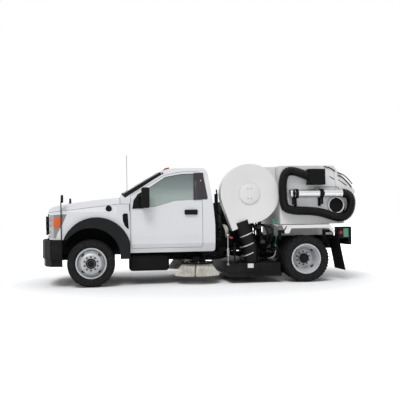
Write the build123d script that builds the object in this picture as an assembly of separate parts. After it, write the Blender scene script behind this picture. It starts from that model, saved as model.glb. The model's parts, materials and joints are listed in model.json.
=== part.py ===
from build123d import *
import math
import os

# Street sweeper truck: a single-cab truck with twin rear wheels, a fan and power unit behind the cab,
# a tilting hopper, a pick-up head between the axles and two gutter brooms.
# Frame: +X forward, +Y to the driver's side, +Z up, origin on the ground under the middle of the truck.
# Lengths in millimetres. Places named ..._BACK are measured rearward from the front axle.

# Driving dimensions of the whole truck
OVERALL_LENGTH = 5537.0
FRONT_OVERHANG = 870.0
WHEELBASE = 3683.0
CAB_WIDTH = 2032.0
FRONT_TRACK = 1890.0
REAR_TRACK = 1880.0
TWIN_SPACING = 273.0
TYRE_DIAMETER = 806.0
TYRE_WIDTH = 225.0
RIM_SEAT_DIAMETER = 495.3
RIM_WIDTH = 152.0
FRAME_WIDTH = 864.0
FRAME_TOP = 730.0
FRAME_DEPTH = 190.0
HOPPER_WIDTH = 1900.0
HOPPER_TOP = 2032.0
FAN_DIAMETER = 1040.0
BROOM_DIAMETER = 800.0
PICKUP_WIDTH = 2180.0

# Clearances shared by all pieces
CUT_OVERRUN = 20.0
SEAT_GAP = 0.3
RUNNING_GAP = 6.0
PANEL_GAP = 6.0

FRONT_AXLE_X = OVERALL_LENGTH / 2 - FRONT_OVERHANG
REAR_AXLE_X = FRONT_AXLE_X - WHEELBASE
TYRE_RADIUS = TYRE_DIAMETER / 2
AXLE_HEIGHT = TYRE_RADIUS
RIM_SEAT_RADIUS = RIM_SEAT_DIAMETER / 2
SIDES = {"left": 1, "right": -1}


def behind(distance):
    """Return the X of a place given as a distance rearward from the front axle."""
    return FRONT_AXLE_X - distance


def box_between(x_pair, y_pair, z_pair):
    """Return a box that spans three pairs of coordinates."""
    lows = [min(pair) for pair in (x_pair, y_pair, z_pair)]
    highs = [max(pair) for pair in (x_pair, y_pair, z_pair)]
    sizes = [high - low for low, high in zip(lows, highs)]
    return Pos(*lows) * Box(*sizes, align=(Align.MIN, Align.MIN, Align.MIN))


def side_profile(points, y_pair, radii=None):
    """Return a plate whose outline lies in the XZ plane, from one Y to another."""
    low, high = sorted(y_pair)
    plane = Plane(origin=(0, high, 0), x_dir=(1, 0, 0), z_dir=(0, -1, 0))
    return extrude(plane * closed_face(points, radii), amount=high - low)


def cross_profile(points, x_pair, radii=None):
    """Return a bar whose outline lies in the YZ plane, from one X to another."""
    low, high = sorted(x_pair)
    plane = Plane(origin=(low, 0, 0), x_dir=(0, 1, 0), z_dir=(1, 0, 0))
    return extrude(plane * closed_face(points, radii), amount=high - low)


def plan_profile(points, z_pair, radii=None):
    """Return a plate whose outline lies in the XY plane, from one Z to another."""
    low, high = sorted(z_pair)
    return extrude(Pos(0, 0, low) * closed_face(points, radii), amount=high - low)


def closed_face(points, radii=None):
    """Return the face inside an outline, its corners rounded by a list of radii."""
    if radii is None:
        return make_face(Polyline(*points, close=True))
    return make_face(FilletPolyline(*points, radius=radii, close=True))


def place_shares(shares, start, size):
    """Scale an outline given as shares of a box to that box."""
    return [(start[0] + u * size[0], start[1] + v * size[1]) for u, v in shares]


def round_bar_y(x, z, radius, y_pair):
    """Return a round bar along Y."""
    low, high = sorted(y_pair)
    bar = Cylinder(radius, high - low, align=(Align.CENTER, Align.CENTER, Align.MIN))
    return Pos(x, low, z) * Rot(-90, 0, 0) * bar


def round_bar_z(x, y, radius, z_pair):
    """Return a round bar along Z."""
    low, high = sorted(z_pair)
    return Pos(x, y, low) * Cylinder(radius, high - low, align=(Align.CENTER, Align.CENTER, Align.MIN))


def round_bar_x(y, z, radius, x_pair):
    """Return a round bar along X."""
    low, high = sorted(x_pair)
    bar = Cylinder(radius, high - low, align=(Align.CENTER, Align.CENTER, Align.MIN))
    return Pos(low, y, z) * Rot(0, 90, 0) * bar


def hole_rectangle(x_pair, middle_z, spacing, radius):
    """Return four bars along X at the corners of a rectangle, as a cutter for bolt holes."""
    holes = None
    for y_side in SIDES.values():
        for z_side in SIDES.values():
            y = y_side * spacing[0] / 2
            z = middle_z + z_side * spacing[1] / 2
            bar = round_bar_x(y, z, radius, x_pair)
            holes = bar if holes is None else holes + bar
    return holes


def rod_between(start, end, radius):
    """Return a round rod from one point to another."""
    path = Line(start, end)
    section = Plane(origin=start, z_dir=Vector(*end) - Vector(*start)) * Circle(radius)
    return sweep(section, path=path)


def pipe_along(points, radii, radius):
    """Return a round pipe along a path of straight runs and tangent arcs."""
    path = FilletPolyline(*points, radius=radii)
    direction = Vector(*points[1]) - Vector(*points[0])
    section = Plane(origin=points[0], z_dir=direction) * Circle(radius)
    return sweep(section, path=path)


def bend_radii(points, share=0.45):
    """Return for each corner of a path the largest arc that its two runs allow."""
    radii = []
    for before, corner, after in zip(points, points[1:], points[2:]):
        run_in = Vector(*corner) - Vector(*before)
        run_out = Vector(*after) - Vector(*corner)
        half_turn = math.radians(run_in.get_angle(run_out)) / 2
        radii.append(share * min(run_in.length, run_out.length) / math.tan(half_turn))
    return radii


def turned_about_y(profile, x=0.0, y=0.0, z=0.0):
    """Revolve an outline of (radius, Y) points about a wheel's axis."""
    face = make_face(Polyline(*profile, close=True))
    return Pos(x, y, z) * revolve(face, axis=Axis.Y)


def mirrored(shape):
    """Return the copy of a shape on the other side of the truck."""
    return mirror(shape, about=Plane.XZ)


def on_side(shape, side):
    """Return a left-hand shape, or its mirror image for the right side."""
    return shape if side > 0 else mirrored(shape)


def solids_of(*shapes):
    """Return one compound of the separate solids of several shapes."""
    return Compound(children=[solid for shape in shapes for solid in shape.solids()])


# Wheels: tyre section as (share of the section height, share of half the width)
TYRE_SECTION_SHARES = [
    (0.0, -0.665), (0.095, -0.665), (0.13, -0.80), (0.30, -0.95), (0.52, -1.0), (0.74, -0.96),
    (0.93, -0.88), (1.0, -0.72), (1.0, 0.72), (0.93, 0.88), (0.74, 0.96), (0.52, 1.0), (0.30, 0.95),
    (0.13, 0.80), (0.095, 0.665), (0.0, 0.665),
]
RIM_FLANGE_HEIGHT = 13.0
RIM_FLANGE_THICKNESS = 8.0
RIM_BARREL_THICKNESS = 9.0
RIM_WELL_DEPTH = 22.0
DISC_OFFSET = TWIN_SPACING / 2
DISC_THICKNESS = 13.0
DISC_FACE_RADIUS = 140.0
DISC_CROWN_RADIUS = 172.0
DISC_JOIN_DEPTH = 38.0
HAND_HOLE_COUNT = 4
HAND_HOLE_LENGTH = 62.0
HAND_HOLE_WIDTH = 26.0
HAND_HOLE_CIRCLE = 196.0
STUD_COUNT = 10
STUD_CIRCLE_RADIUS = 112.5
NUT_RADIUS = 15.0
NUT_HEIGHT = 24.0
FRONT_HUB_RADIUS = 62.0
FRONT_HUB_REACH = 34.0
REAR_HUB_RADIUS = 88.0
REAR_HUB_REACH = 74.0
HUB_BORE_RADIUS = 50.0
HUB_INNER_DEPTH = 62.0


def tyre():
    """Tyre centred on its own middle plane, bore a little over the rim's seat."""
    bore = RIM_SEAT_RADIUS + SEAT_GAP
    height = TYRE_RADIUS - bore
    points = [(bore + u * height, v * TYRE_WIDTH / 2) for u, v in TYRE_SECTION_SHARES]
    return turned_about_y(points)


def rim_barrel():
    """Drop-centre barrel with its two flanges."""
    half = RIM_WIDTH / 2
    seat = RIM_SEAT_RADIUS
    flange = seat + RIM_FLANGE_HEIGHT
    well = seat - RIM_WELL_DEPTH
    inner_well = well - RIM_BARREL_THICKNESS
    inner_seat = seat - RIM_BARREL_THICKNESS
    well_half = half / 3
    edge = half + RIM_FLANGE_THICKNESS
    points = [
        (flange, -edge), (flange, -half), (seat, -half), (seat, -half + RIM_WELL_DEPTH),
        (well, -well_half), (well, well_half), (seat, half - RIM_WELL_DEPTH), (seat, half),
        (flange, half), (flange, edge), (inner_seat, edge), (inner_seat, half - RIM_WELL_DEPTH),
        (inner_well, well_half), (inner_well, -well_half), (inner_seat, -half + RIM_WELL_DEPTH),
        (inner_seat, -edge),
    ]
    return turned_about_y(points)


def wheel_disc():
    """Dished disc whose mounting face lies DISC_OFFSET out from the rim's middle."""
    outer = RIM_SEAT_RADIUS - RIM_WELL_DEPTH - RIM_BARREL_THICKNESS / 2
    face = DISC_OFFSET
    joint = DISC_JOIN_DEPTH
    points = [
        (HUB_BORE_RADIUS, face - DISC_THICKNESS), (HUB_BORE_RADIUS, face), (DISC_FACE_RADIUS, face),
        (DISC_CROWN_RADIUS, face - DISC_THICKNESS), (outer, joint), (outer, 0.0),
        (outer - DISC_THICKNESS, 0.0), (outer - DISC_THICKNESS, joint - DISC_THICKNESS),
        (DISC_CROWN_RADIUS - DISC_THICKNESS, face - 2 * DISC_THICKNESS),
        (DISC_FACE_RADIUS - DISC_THICKNESS, face - DISC_THICKNESS),
    ]
    disc = turned_about_y(points)
    slot = Pos(HAND_HOLE_CIRCLE, 0, 0) * Rot(90, 0, 0) * extrude(
        Rot(0, 0, 90) * SlotOverall(HAND_HOLE_LENGTH, HAND_HOLE_WIDTH), amount=DISC_OFFSET * 2, both=True
    )
    for index in range(HAND_HOLE_COUNT):
        disc -= Rot(0, 360 * (index + 0.5) / HAND_HOLE_COUNT, 0) * slot
    return disc


def wheel_nuts(face, outward):
    """Ring of wheel nuts on a mounting face at Y = face."""
    nuts = []
    for index in range(STUD_COUNT):
        angle = math.radians(360 * index / STUD_COUNT)
        x = STUD_CIRCLE_RADIUS * math.cos(angle)
        z = STUD_CIRCLE_RADIUS * math.sin(angle)
        reach = face + outward * NUT_HEIGHT
        nuts.append(round_bar_y(x, z, NUT_RADIUS, (face - outward * SEAT_GAP, reach)))
    return nuts


def front_rim():
    """Front wheel: the disc bulges outward, with the hub cap at its centre."""
    face = DISC_OFFSET
    hub = round_bar_y(0, 0, FRONT_HUB_RADIUS, (face - HUB_INNER_DEPTH, face + FRONT_HUB_REACH))
    shape = rim_barrel() + wheel_disc() + hub
    for nut in wheel_nuts(face, 1):
        shape += nut
    return shape


def rear_rims():
    """Twin rear wheels: two rims face to face on the hub, the outer disc deep inside."""
    inner = Pos(0, -TWIN_SPACING / 2, 0) * (rim_barrel() + wheel_disc())
    outer = Pos(0, TWIN_SPACING / 2, 0) * Rot(0, 0, 180) * (rim_barrel() + wheel_disc())
    hub = round_bar_y(0, 0, REAR_HUB_RADIUS, (-HUB_INNER_DEPTH, DISC_THICKNESS + REAR_HUB_REACH))
    shape = inner + outer + hub
    for nut in wheel_nuts(DISC_THICKNESS, 1):
        shape += nut
    return shape


def add_wheels(nodes):
    """Place the four wheel ends."""
    front_y = FRONT_TRACK / 2
    rear_y = REAR_TRACK / 2
    front_tyre = Pos(FRONT_AXLE_X, front_y, AXLE_HEIGHT) * tyre()
    front_wheel = Pos(FRONT_AXLE_X, front_y, AXLE_HEIGHT) * front_rim()
    twin_tyres = [
        Pos(REAR_AXLE_X, rear_y + step * TWIN_SPACING / 2, AXLE_HEIGHT) * tyre() for step in (-1, 1)
    ]
    rear_wheel = Pos(REAR_AXLE_X, rear_y, AXLE_HEIGHT) * rear_rims()
    for name, side in SIDES.items():
        nodes["front_tyre_" + name] = on_side(front_tyre, side)
        nodes["front_rim_" + name] = on_side(front_wheel, side)
        nodes["rear_tyres_" + name] = solids_of(*[on_side(one, side) for one in twin_tyres])
        nodes["rear_rims_" + name] = on_side(rear_wheel, side)


# Front axle, knuckles and tie rod
KINGPIN_HALF_SPACING = 880.0
BEAM_HALF_WIDTH = 45.0
BEAM_HALF_HEIGHT = 42.0
FORK_HALF_WIDTH = 36.0
FORK_INNER_HEIGHT = 75.0
FORK_PLATE_THICKNESS = 25.0
FORK_REACH = 36.0
FORK_WEB_THICKNESS = 30.0
FORK_WEB_OFFSET = 110.0
KINGPIN_RADIUS = 38.0
SPINDLE_RADIUS = 44.0
STEERING_ARM_LENGTH = 150.0
STEERING_ARM_RADIUS = 30.0
STEERING_ARM_THICKNESS = 22.0
STEERING_ARM_WIDTH = 40.0
TIE_ROD_RADIUS = 16.0
COIL_RADIUS = 62.0
COIL_WIRE_RADIUS = 9.0
COIL_TURNS = 5
COIL_HALF_SPACING = 516.0
COIL_SEAT_HALF = 80.0
COIL_SEAT_THICKNESS = 12.0


def front_axle():
    """Beam with a fork at each end that holds the kingpin, and the two coil springs."""
    web_y = KINGPIN_HALF_SPACING - FORK_WEB_OFFSET
    beam_x = (FRONT_AXLE_X - BEAM_HALF_WIDTH, FRONT_AXLE_X + BEAM_HALF_WIDTH)
    beam_z = (AXLE_HEIGHT - BEAM_HALF_HEIGHT, AXLE_HEIGHT + BEAM_HALF_HEIGHT)
    fork_x = (FRONT_AXLE_X - FORK_HALF_WIDTH, FRONT_AXLE_X + FORK_HALF_WIDTH)
    fork_top = FORK_INNER_HEIGHT + FORK_PLATE_THICKNESS
    shape = box_between(beam_x, (-web_y, web_y), beam_z)
    for side in SIDES.values():
        web = (side * web_y, side * (web_y + FORK_WEB_THICKNESS))
        shape += box_between(fork_x, web, (AXLE_HEIGHT - fork_top, AXLE_HEIGHT + fork_top))
        for rise in (-1, 1):
            plate_z = (AXLE_HEIGHT + rise * FORK_INNER_HEIGHT, AXLE_HEIGHT + rise * fork_top)
            shape += box_between(fork_x, (side * web_y, side * (KINGPIN_HALF_SPACING + FORK_REACH)), plate_z)
        shape += coil_spring(side * COIL_HALF_SPACING)
    return shape


def coil_spring(y):
    """Coil spring as a core with closed rings of wire, between its seats on beam and frame."""
    bottom = AXLE_HEIGHT + BEAM_HALF_HEIGHT - COIL_SEAT_THICKNESS
    top = FRAME_TOP - FRAME_DEPTH / 2
    core = round_bar_z(FRONT_AXLE_X, y, COIL_RADIUS, (bottom, top - SEAT_GAP))
    pitch = (top - bottom) / COIL_TURNS
    for turn in range(COIL_TURNS - 1):
        core += Pos(FRONT_AXLE_X, y, bottom + (turn + 1) * pitch) * Torus(COIL_RADIUS, COIL_WIRE_RADIUS)
    return core


def knuckle():
    """Left knuckle: kingpin, spindle out to the hub, and the steering arm to the rear."""
    spindle_end = FRONT_TRACK / 2 + DISC_OFFSET - HUB_INNER_DEPTH - SEAT_GAP
    half = FORK_INNER_HEIGHT - SEAT_GAP
    shape = round_bar_z(
        FRONT_AXLE_X, KINGPIN_HALF_SPACING, KINGPIN_RADIUS, (AXLE_HEIGHT - half, AXLE_HEIGHT + half)
    )
    shape += round_bar_y(FRONT_AXLE_X, AXLE_HEIGHT, SPINDLE_RADIUS, (KINGPIN_HALF_SPACING, spindle_end))
    arm_end = FRONT_AXLE_X - STEERING_ARM_LENGTH
    arm_z = (AXLE_HEIGHT - STEERING_ARM_THICKNESS / 2, AXLE_HEIGHT + STEERING_ARM_THICKNESS / 2)
    arm_y = (KINGPIN_HALF_SPACING - STEERING_ARM_WIDTH / 2, KINGPIN_HALF_SPACING + STEERING_ARM_WIDTH / 2)
    shape += box_between((FRONT_AXLE_X, arm_end), arm_y, arm_z)
    shape += round_bar_z(arm_end, KINGPIN_HALF_SPACING, STEERING_ARM_RADIUS, arm_z)
    return shape


def tie_rod():
    """Rod between the two steering arms, with a flat eye under each arm."""
    x = FRONT_AXLE_X - STEERING_ARM_LENGTH
    top = AXLE_HEIGHT - STEERING_ARM_THICKNESS / 2 - SEAT_GAP
    height = top - TIE_ROD_RADIUS
    shape = round_bar_y(x, height, TIE_ROD_RADIUS, (-KINGPIN_HALF_SPACING, KINGPIN_HALF_SPACING))
    for side in SIDES.values():
        eye_z = (top - 2 * TIE_ROD_RADIUS, top)
        shape += round_bar_z(x, side * KINGPIN_HALF_SPACING, STEERING_ARM_RADIUS, eye_z)
    return shape


# Rear axle and leaf springs
AXLE_TUBE_RADIUS = 62.0
DIFFERENTIAL_RADIUS = 168.0
DIFFERENTIAL_HALF_WIDTH = 110.0
PINION_LENGTH = 250.0
PINION_RADIUS = 62.0
LEAF_HALF_LENGTH = 640.0
LEAF_WIDTH = 76.0
LEAF_THICKNESS = 14.0
LEAF_COUNT = 4
LEAF_CAMBER = 55.0
LEAF_STEP_SHARE = 0.2
LEAF_Y = 484.0
AXLE_PAD_HALF = 75.0


def leaf_spring():
    """Stack of curved leaves seated on the axle's pad, the longest on top."""
    seat = AXLE_HEIGHT + AXLE_TUBE_RADIUS
    shape = None
    for index in range(LEAF_COUNT):
        half = LEAF_HALF_LENGTH * (1 - LEAF_STEP_SHARE * index)
        rise = LEAF_CAMBER * (half / LEAF_HALF_LENGTH) ** 2
        low = seat + (LEAF_COUNT - 1 - index) * LEAF_THICKNESS
        high = low + LEAF_THICKNESS
        under = ThreePointArc((-half, low + rise), (0, low), (half, low + rise))
        over = ThreePointArc((half, high + rise), (0, high), (-half, high + rise))
        ends = Line(under @ 1, over @ 0) + Line(over @ 1, under @ 0)
        face = Plane.XZ * make_face(under + over + ends)
        leaf = extrude(face, amount=LEAF_WIDTH / 2, both=True)
        shape = leaf if shape is None else shape + leaf
    return Pos(REAR_AXLE_X, LEAF_Y, 0) * shape


def rear_axle():
    """Axle tube, differential and pinion, spindles out to the hubs and the leaf springs."""
    spindle_end = REAR_TRACK / 2 - HUB_INNER_DEPTH - SEAT_GAP
    shape = round_bar_y(REAR_AXLE_X, AXLE_HEIGHT, AXLE_TUBE_RADIUS, (-spindle_end, spindle_end))
    bowl = round_bar_x(0, AXLE_HEIGHT, DIFFERENTIAL_RADIUS, (
        REAR_AXLE_X - DIFFERENTIAL_HALF_WIDTH, REAR_AXLE_X + DIFFERENTIAL_HALF_WIDTH))
    shape += fillet(bowl.edges().filter_by(GeomType.CIRCLE), radius=DIFFERENTIAL_HALF_WIDTH / 2)
    shape += round_bar_x(0, AXLE_HEIGHT, PINION_RADIUS, (REAR_AXLE_X, REAR_AXLE_X + PINION_LENGTH))
    for side in SIDES.values():
        pad_x = (REAR_AXLE_X - AXLE_PAD_HALF, REAR_AXLE_X + AXLE_PAD_HALF)
        pad_y = (side * (LEAF_Y - LEAF_WIDTH / 2), side * (LEAF_Y + LEAF_WIDTH / 2))
        pad_z = (AXLE_HEIGHT, AXLE_HEIGHT + AXLE_TUBE_RADIUS + LEAF_THICKNESS)
        shape += box_between(pad_x, pad_y, pad_z)
        shape += on_side(leaf_spring(), side)
    return shape


# Frame
RAIL_THICKNESS = 8.0
RAIL_FLANGE = 70.0
RAIL_FRONT_BACK = -735.0
RAIL_REAR_BACK = 4440.0
CROSSMEMBER_LENGTH = 90.0
CROSSMEMBER_DEPTH = 110.0
CROSSMEMBER_BACKS = [-685.0, 1240.0, 2300.0, 3060.0, 4000.0, 4390.0]
HANGER_LENGTH = 60.0
HANGER_DROP = 50.0
SPRING_TOWER_HALF = 90.0


def frame_rail():
    """Left channel rail, its open side towards the middle."""
    web = FRAME_WIDTH / 2
    bottom = FRAME_TOP - FRAME_DEPTH
    flange = web - RAIL_FLANGE
    skin = RAIL_THICKNESS
    points = [
        (web, bottom), (web, FRAME_TOP), (flange, FRAME_TOP), (flange, FRAME_TOP - skin),
        (web - skin, FRAME_TOP - skin), (web - skin, bottom + skin), (flange, bottom + skin),
        (flange, bottom),
    ]
    return cross_profile(points, (behind(RAIL_FRONT_BACK), behind(RAIL_REAR_BACK)))


def frame_members():
    """Crossmembers between the rails, and the spring hangers and towers on their outer sides."""
    web = FRAME_WIDTH / 2
    side_y = web + SEAT_GAP
    leaf_eye = AXLE_HEIGHT + AXLE_TUBE_RADIUS + LEAF_COUNT * LEAF_THICKNESS + LEAF_CAMBER
    brackets = []
    for end in (-1, 1):
        eye_x = REAR_AXLE_X + end * (LEAF_HALF_LENGTH - HANGER_LENGTH / 2)
        hanger_x = (eye_x - HANGER_LENGTH / 2, eye_x + HANGER_LENGTH / 2)
        hanger_y = (side_y, LEAF_Y + LEAF_WIDTH / 2)
        brackets.append(box_between(hanger_x, hanger_y, (leaf_eye + SEAT_GAP, leaf_eye + HANGER_DROP)))
    tower_x = (FRONT_AXLE_X - SPRING_TOWER_HALF, FRONT_AXLE_X + SPRING_TOWER_HALF)
    tower_y = (side_y, COIL_HALF_SPACING + COIL_SEAT_HALF)
    brackets.append(box_between(tower_x, tower_y, (FRAME_TOP - FRAME_DEPTH / 2, FRAME_TOP)))
    half = CROSSMEMBER_LENGTH / 2
    member_top = FRAME_TOP - RAIL_THICKNESS - SEAT_GAP
    member_end = web - RAIL_THICKNESS - SEAT_GAP
    members = []
    for back in CROSSMEMBER_BACKS:
        member_x = (behind(back) - half, behind(back) + half)
        members.append(
            box_between(member_x, (-member_end, member_end), (member_top - CROSSMEMBER_DEPTH, member_top))
        )
    return solids_of(*members, *brackets, *(mirrored(bracket) for bracket in brackets))


# Engine, driveline, exhaust and fuel tank
ENGINE_FRONT_BACK = -260.0
ENGINE_LENGTH = 800.0
ENGINE_HALF_WIDTH = 300.0
ENGINE_BOTTOM = 500.0
ENGINE_TOP = 1060.0
GEARBOX_REAR_BACK = 1150.0
GEARBOX_RADIUS = 150.0
GEARBOX_HEIGHT = 560.0
SHAFT_RADIUS = 48.0
EXHAUST_RADIUS = 42.0
MUFFLER_RADIUS = 85.0
MUFFLER_BACKS = (1250.0, 1950.0)
EXHAUST_Y = -240.0
EXHAUST_HEIGHT = 440.0
EXHAUST_REAR_BACK = 2280.0
TANK_BACKS = (640.0, 1330.0)
TANK_Y = (470.0, 880.0)
TANK_Z = (240.0, 530.0)
TANK_CORNER = 60.0
TANK_BRACKET_BACKS = [780.0, 1190.0]
TANK_BRACKET_HALF = 30.0
EXHAUST_HANGER_BACKS = [1240.0, 2268.0]
EXHAUST_HANGER_HALF = 10.0


def engine_block():
    """Engine as one plain block with its gearbox behind."""
    rear = ENGINE_FRONT_BACK + ENGINE_LENGTH
    engine_x = (behind(ENGINE_FRONT_BACK), behind(rear))
    block = box_between(engine_x, (-ENGINE_HALF_WIDTH, ENGINE_HALF_WIDTH), (ENGINE_BOTTOM, ENGINE_TOP))
    return block + round_bar_x(0, GEARBOX_HEIGHT, GEARBOX_RADIUS, (behind(rear), behind(GEARBOX_REAR_BACK)))


def driveline():
    """Propeller shaft from the gearbox to the differential, and the exhaust on the right."""
    start_x = behind(GEARBOX_REAR_BACK) - SEAT_GAP
    end_x = REAR_AXLE_X + PINION_LENGTH + SEAT_GAP
    yoke = SHAFT_RADIUS
    shaft = rod_between((start_x - yoke, 0, GEARBOX_HEIGHT), (end_x + yoke, 0, AXLE_HEIGHT), SHAFT_RADIUS)
    shaft += round_bar_x(0, GEARBOX_HEIGHT, SHAFT_RADIUS, (start_x - yoke, start_x))
    shaft += round_bar_x(0, AXLE_HEIGHT, SHAFT_RADIUS, (end_x, end_x + yoke))
    front, rear = MUFFLER_BACKS
    exhaust = round_bar_x(EXHAUST_Y, EXHAUST_HEIGHT, MUFFLER_RADIUS, (behind(front), behind(rear)))
    exhaust += round_bar_x(
        EXHAUST_Y, EXHAUST_HEIGHT, EXHAUST_RADIUS, (behind(front / 2), behind(EXHAUST_REAR_BACK))
    )
    hanger_z = (
        EXHAUST_HEIGHT + EXHAUST_RADIUS / 2, FRAME_TOP - RAIL_THICKNESS - CROSSMEMBER_DEPTH - 2 * SEAT_GAP
    )
    hanger_y = (EXHAUST_Y - EXHAUST_HANGER_HALF, EXHAUST_Y + EXHAUST_HANGER_HALF)
    for back in EXHAUST_HANGER_BACKS:
        hanger_x = (behind(back) - EXHAUST_HANGER_HALF, behind(back) + EXHAUST_HANGER_HALF)
        exhaust += box_between(hanger_x, hanger_y, hanger_z)
    return solids_of(shaft, exhaust)


def fuel_tank():
    """Moulded tank slung outside the left rail under the cab."""
    tank = box_between([behind(back) for back in TANK_BACKS], TANK_Y, TANK_Z)
    tank = fillet(tank.edges(), radius=TANK_CORNER)
    bracket_y = (FRAME_WIDTH / 2 + SEAT_GAP, TANK_Y[0] + TANK_CORNER)
    bracket_z = (TANK_Z[1] - TANK_CORNER, FRAME_TOP - FRAME_DEPTH / 2)
    for back in TANK_BRACKET_BACKS:
        bracket_x = (behind(back) - TANK_BRACKET_HALF, behind(back) + TANK_BRACKET_HALF)
        tank += box_between(bracket_x, bracket_y, bracket_z)
    return tank


# Front bumper with its air dam: plan outline as (share of depth, share of half width)
BUMPER_DEPTH = 390.0
BUMPER_HALF_WIDTH = 1010.0
BUMPER_Z = (480.0, 800.0)
BUMPER_PLAN_SHARES = [
    (0.0, 0.0), (0.04, 0.45), (0.21, 0.78), (0.49, 0.95), (1.0, 1.0), (1.0, 0.93), (0.56, 0.88),
    (0.36, 0.72), (0.26, 0.45), (0.22, 0.0),
]
AIR_DAM_SCALE_SHARE = 0.94
AIR_DAM_BOTTOM = 350.0
BRACKET_HALF_WIDTH = 45.0
BRACKET_Y = 400.0
# Four holes for a registration plate
PLATE_HOLE_SPACING = (177.8, 120.65)
PLATE_HOLE_RADIUS = 3.5


def front_bumper():
    """Bumper that wraps round to the wheels, an air dam below and two brackets to the rails."""
    front = behind(-FRONT_OVERHANG)
    halves = []
    for scale, heights in ((1.0, BUMPER_Z), (AIR_DAM_SCALE_SHARE, (AIR_DAM_BOTTOM, BUMPER_Z[0]))):
        inset = (1 - scale) * BUMPER_DEPTH
        size = (-BUMPER_DEPTH * scale, BUMPER_HALF_WIDTH * scale)
        halves.append(plan_profile(place_shares(BUMPER_PLAN_SHARES, (front - inset, 0), size), heights))
    half = halves[0] + halves[1]
    shape = half + mirrored(half)
    for side in SIDES.values():
        bracket_y = (side * (BRACKET_Y - BRACKET_HALF_WIDTH), side * BRACKET_Y)
        bracket_x = (behind(RAIL_FRONT_BACK) + SEAT_GAP, front - BUMPER_DEPTH / 8)
        shape += box_between(bracket_x, bracket_y, (FRAME_TOP - FRAME_DEPTH, FRAME_TOP))
    hole_x = (front - BUMPER_DEPTH / 2, front + CUT_OVERRUN)
    return shape - hole_rectangle(hole_x, sum(BUMPER_Z) / 2, PLATE_HOLE_SPACING, PLATE_HOLE_RADIUS)


def both_halves(points):
    """Complete an outline that runs from the centre line round the left half."""
    return points + [(-y, z) for y, z in reversed(points) if y != 0]


# Cab: side outline as (share of length, share of height, corner radius as a share of height)
CAB_FRONT_BACK = 500.0
CAB_LENGTH = 1620.0
CAB_BOTTOM = 560.0
CAB_HEIGHT = 1480.0
CAB_SIDE_SHARES = [
    (0.10, 0.0, 0.0), (0.10, 0.568, 0.0), (0.0, 0.568, 0.0), (0.0, 0.659, 0.01),
    (0.484, 0.969, 0.24), (0.679, 1.0, 0.40), (0.903, 0.992, 0.045), (0.939, 0.934, 0.06),
    (0.979, 0.595, 0.6), (1.0, 0.311, 0.6), (1.0, 0.0, 0.03),
]
# Cab section as (share of half the width, share of height)
CAB_SECTION_SHARES = [
    (0.0, 0.0), (0.93, 0.0), (0.985, 0.10), (1.0, 0.28), (1.0, 0.46), (0.975, 0.62), (0.83, 0.93),
    (0.72, 0.985), (0.0, 1.0),
]
CAB_WALL = 55.0
CAB_FLOOR_TOP = 810.0
CAB_FLOOR_THICKNESS = 35.0
CAB_MOUNT_RADIUS = 45.0
CAB_MOUNT_Y = 395.0
CAB_MOUNT_BACKS = [820.0, 1980.0]
DOOR_SEAL_BACKS = (800.0, 1800.0)
DOOR_SEAL_HEIGHT = 20.0
HOOD_HINGE_BACK = 492.0
HOOD_HINGE_HEIGHT = 1518.0
HOOD_HINGE_RADIUS = 8.5
HOOD_HINGE_Y = (120.0, 200.0)
# Door outline as (distance behind the front axle, height) in shares of the cab's side outline box
DOOR_SHARES = [
    (0.109, 0.054, 0.02), (0.109, 0.660, 0.02), (0.470, 0.893, 0.08), (0.66, 0.935, 0.3),
    (0.846, 0.942, 0.02), (0.864, 0.594, 0.0), (0.864, 0.054, 0.02),
]
DOOR_GLASS_SHARES = [
    (0.215, 0.522, 0.02), (0.215, 0.687, 0.02), (0.480, 0.876, 0.08), (0.66, 0.912, 0.3),
    (0.800, 0.915, 0.015), (0.803, 0.603, 0.015), (0.575, 0.592, 0.08), (0.36, 0.525, 0.08),
]
QUARTER_GLASS_SHARES = [
    (0.877, 0.603, 0.01), (0.862, 0.915, 0.01), (0.890, 0.915, 0.02), (0.930, 0.603, 0.02),
]
GLASS_THICKNESS = 8.0
GLASS_DEPTH = 14.0
WINDSCREEN_HALF_WIDTHS = (850.0, 655.0)
WINDSCREEN_MARGINS = (45.0, 60.0)
WINDSCREEN_CORNER = 70.0
REAR_WINDOW_HALF_WIDTH = 560.0
REAR_WINDOW_Z = (1450.0, 1860.0)
REAR_WINDOW_CORNER = 60.0


def cab_points(shares):
    """Return outline points and corner radii from a table of shares of the cab's side box."""
    start = (behind(CAB_FRONT_BACK), CAB_BOTTOM)
    points = place_shares([row[:2] for row in shares], start, (-CAB_LENGTH, CAB_HEIGHT))
    return points, [row[2] * CAB_HEIGHT for row in shares]


def cab_section(inset):
    """Return the cab's section drawn out along X, or that of a form inside it."""
    section = [(u * CAB_WIDTH / 2, CAB_BOTTOM + v * CAB_HEIGHT) for u, v in CAB_SECTION_SHARES]
    face = closed_face(both_halves(section))
    if inset != 0:
        face = offset(face, amount=-inset, kind=Kind.INTERSECTION)
    start = behind(CAB_FRONT_BACK + 2 * CAB_LENGTH)
    plane = Plane(origin=(start, 0, 0), x_dir=(0, 1, 0), z_dir=(1, 0, 0))
    return extrude(plane * face, amount=3 * CAB_LENGTH)


def cab_form(inset):
    """Return the cab's outer form, or the form a wall's thickness inside it."""
    points, radii = cab_points(CAB_SIDE_SHARES)
    face = closed_face(points, radii)
    if inset != 0:
        face = offset(face, amount=-inset, kind=Kind.INTERSECTION)
    plane = Plane(origin=(0, CAB_WIDTH, 0), x_dir=(1, 0, 0), z_dir=(0, -1, 0))
    return extrude(plane * face, amount=2 * CAB_WIDTH) & cab_section(inset)


def side_wall(thickness):
    """Return the cab's two side walls and roof at a thickness, out to its surface."""
    return cab_form(0) - cab_section(thickness)


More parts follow.
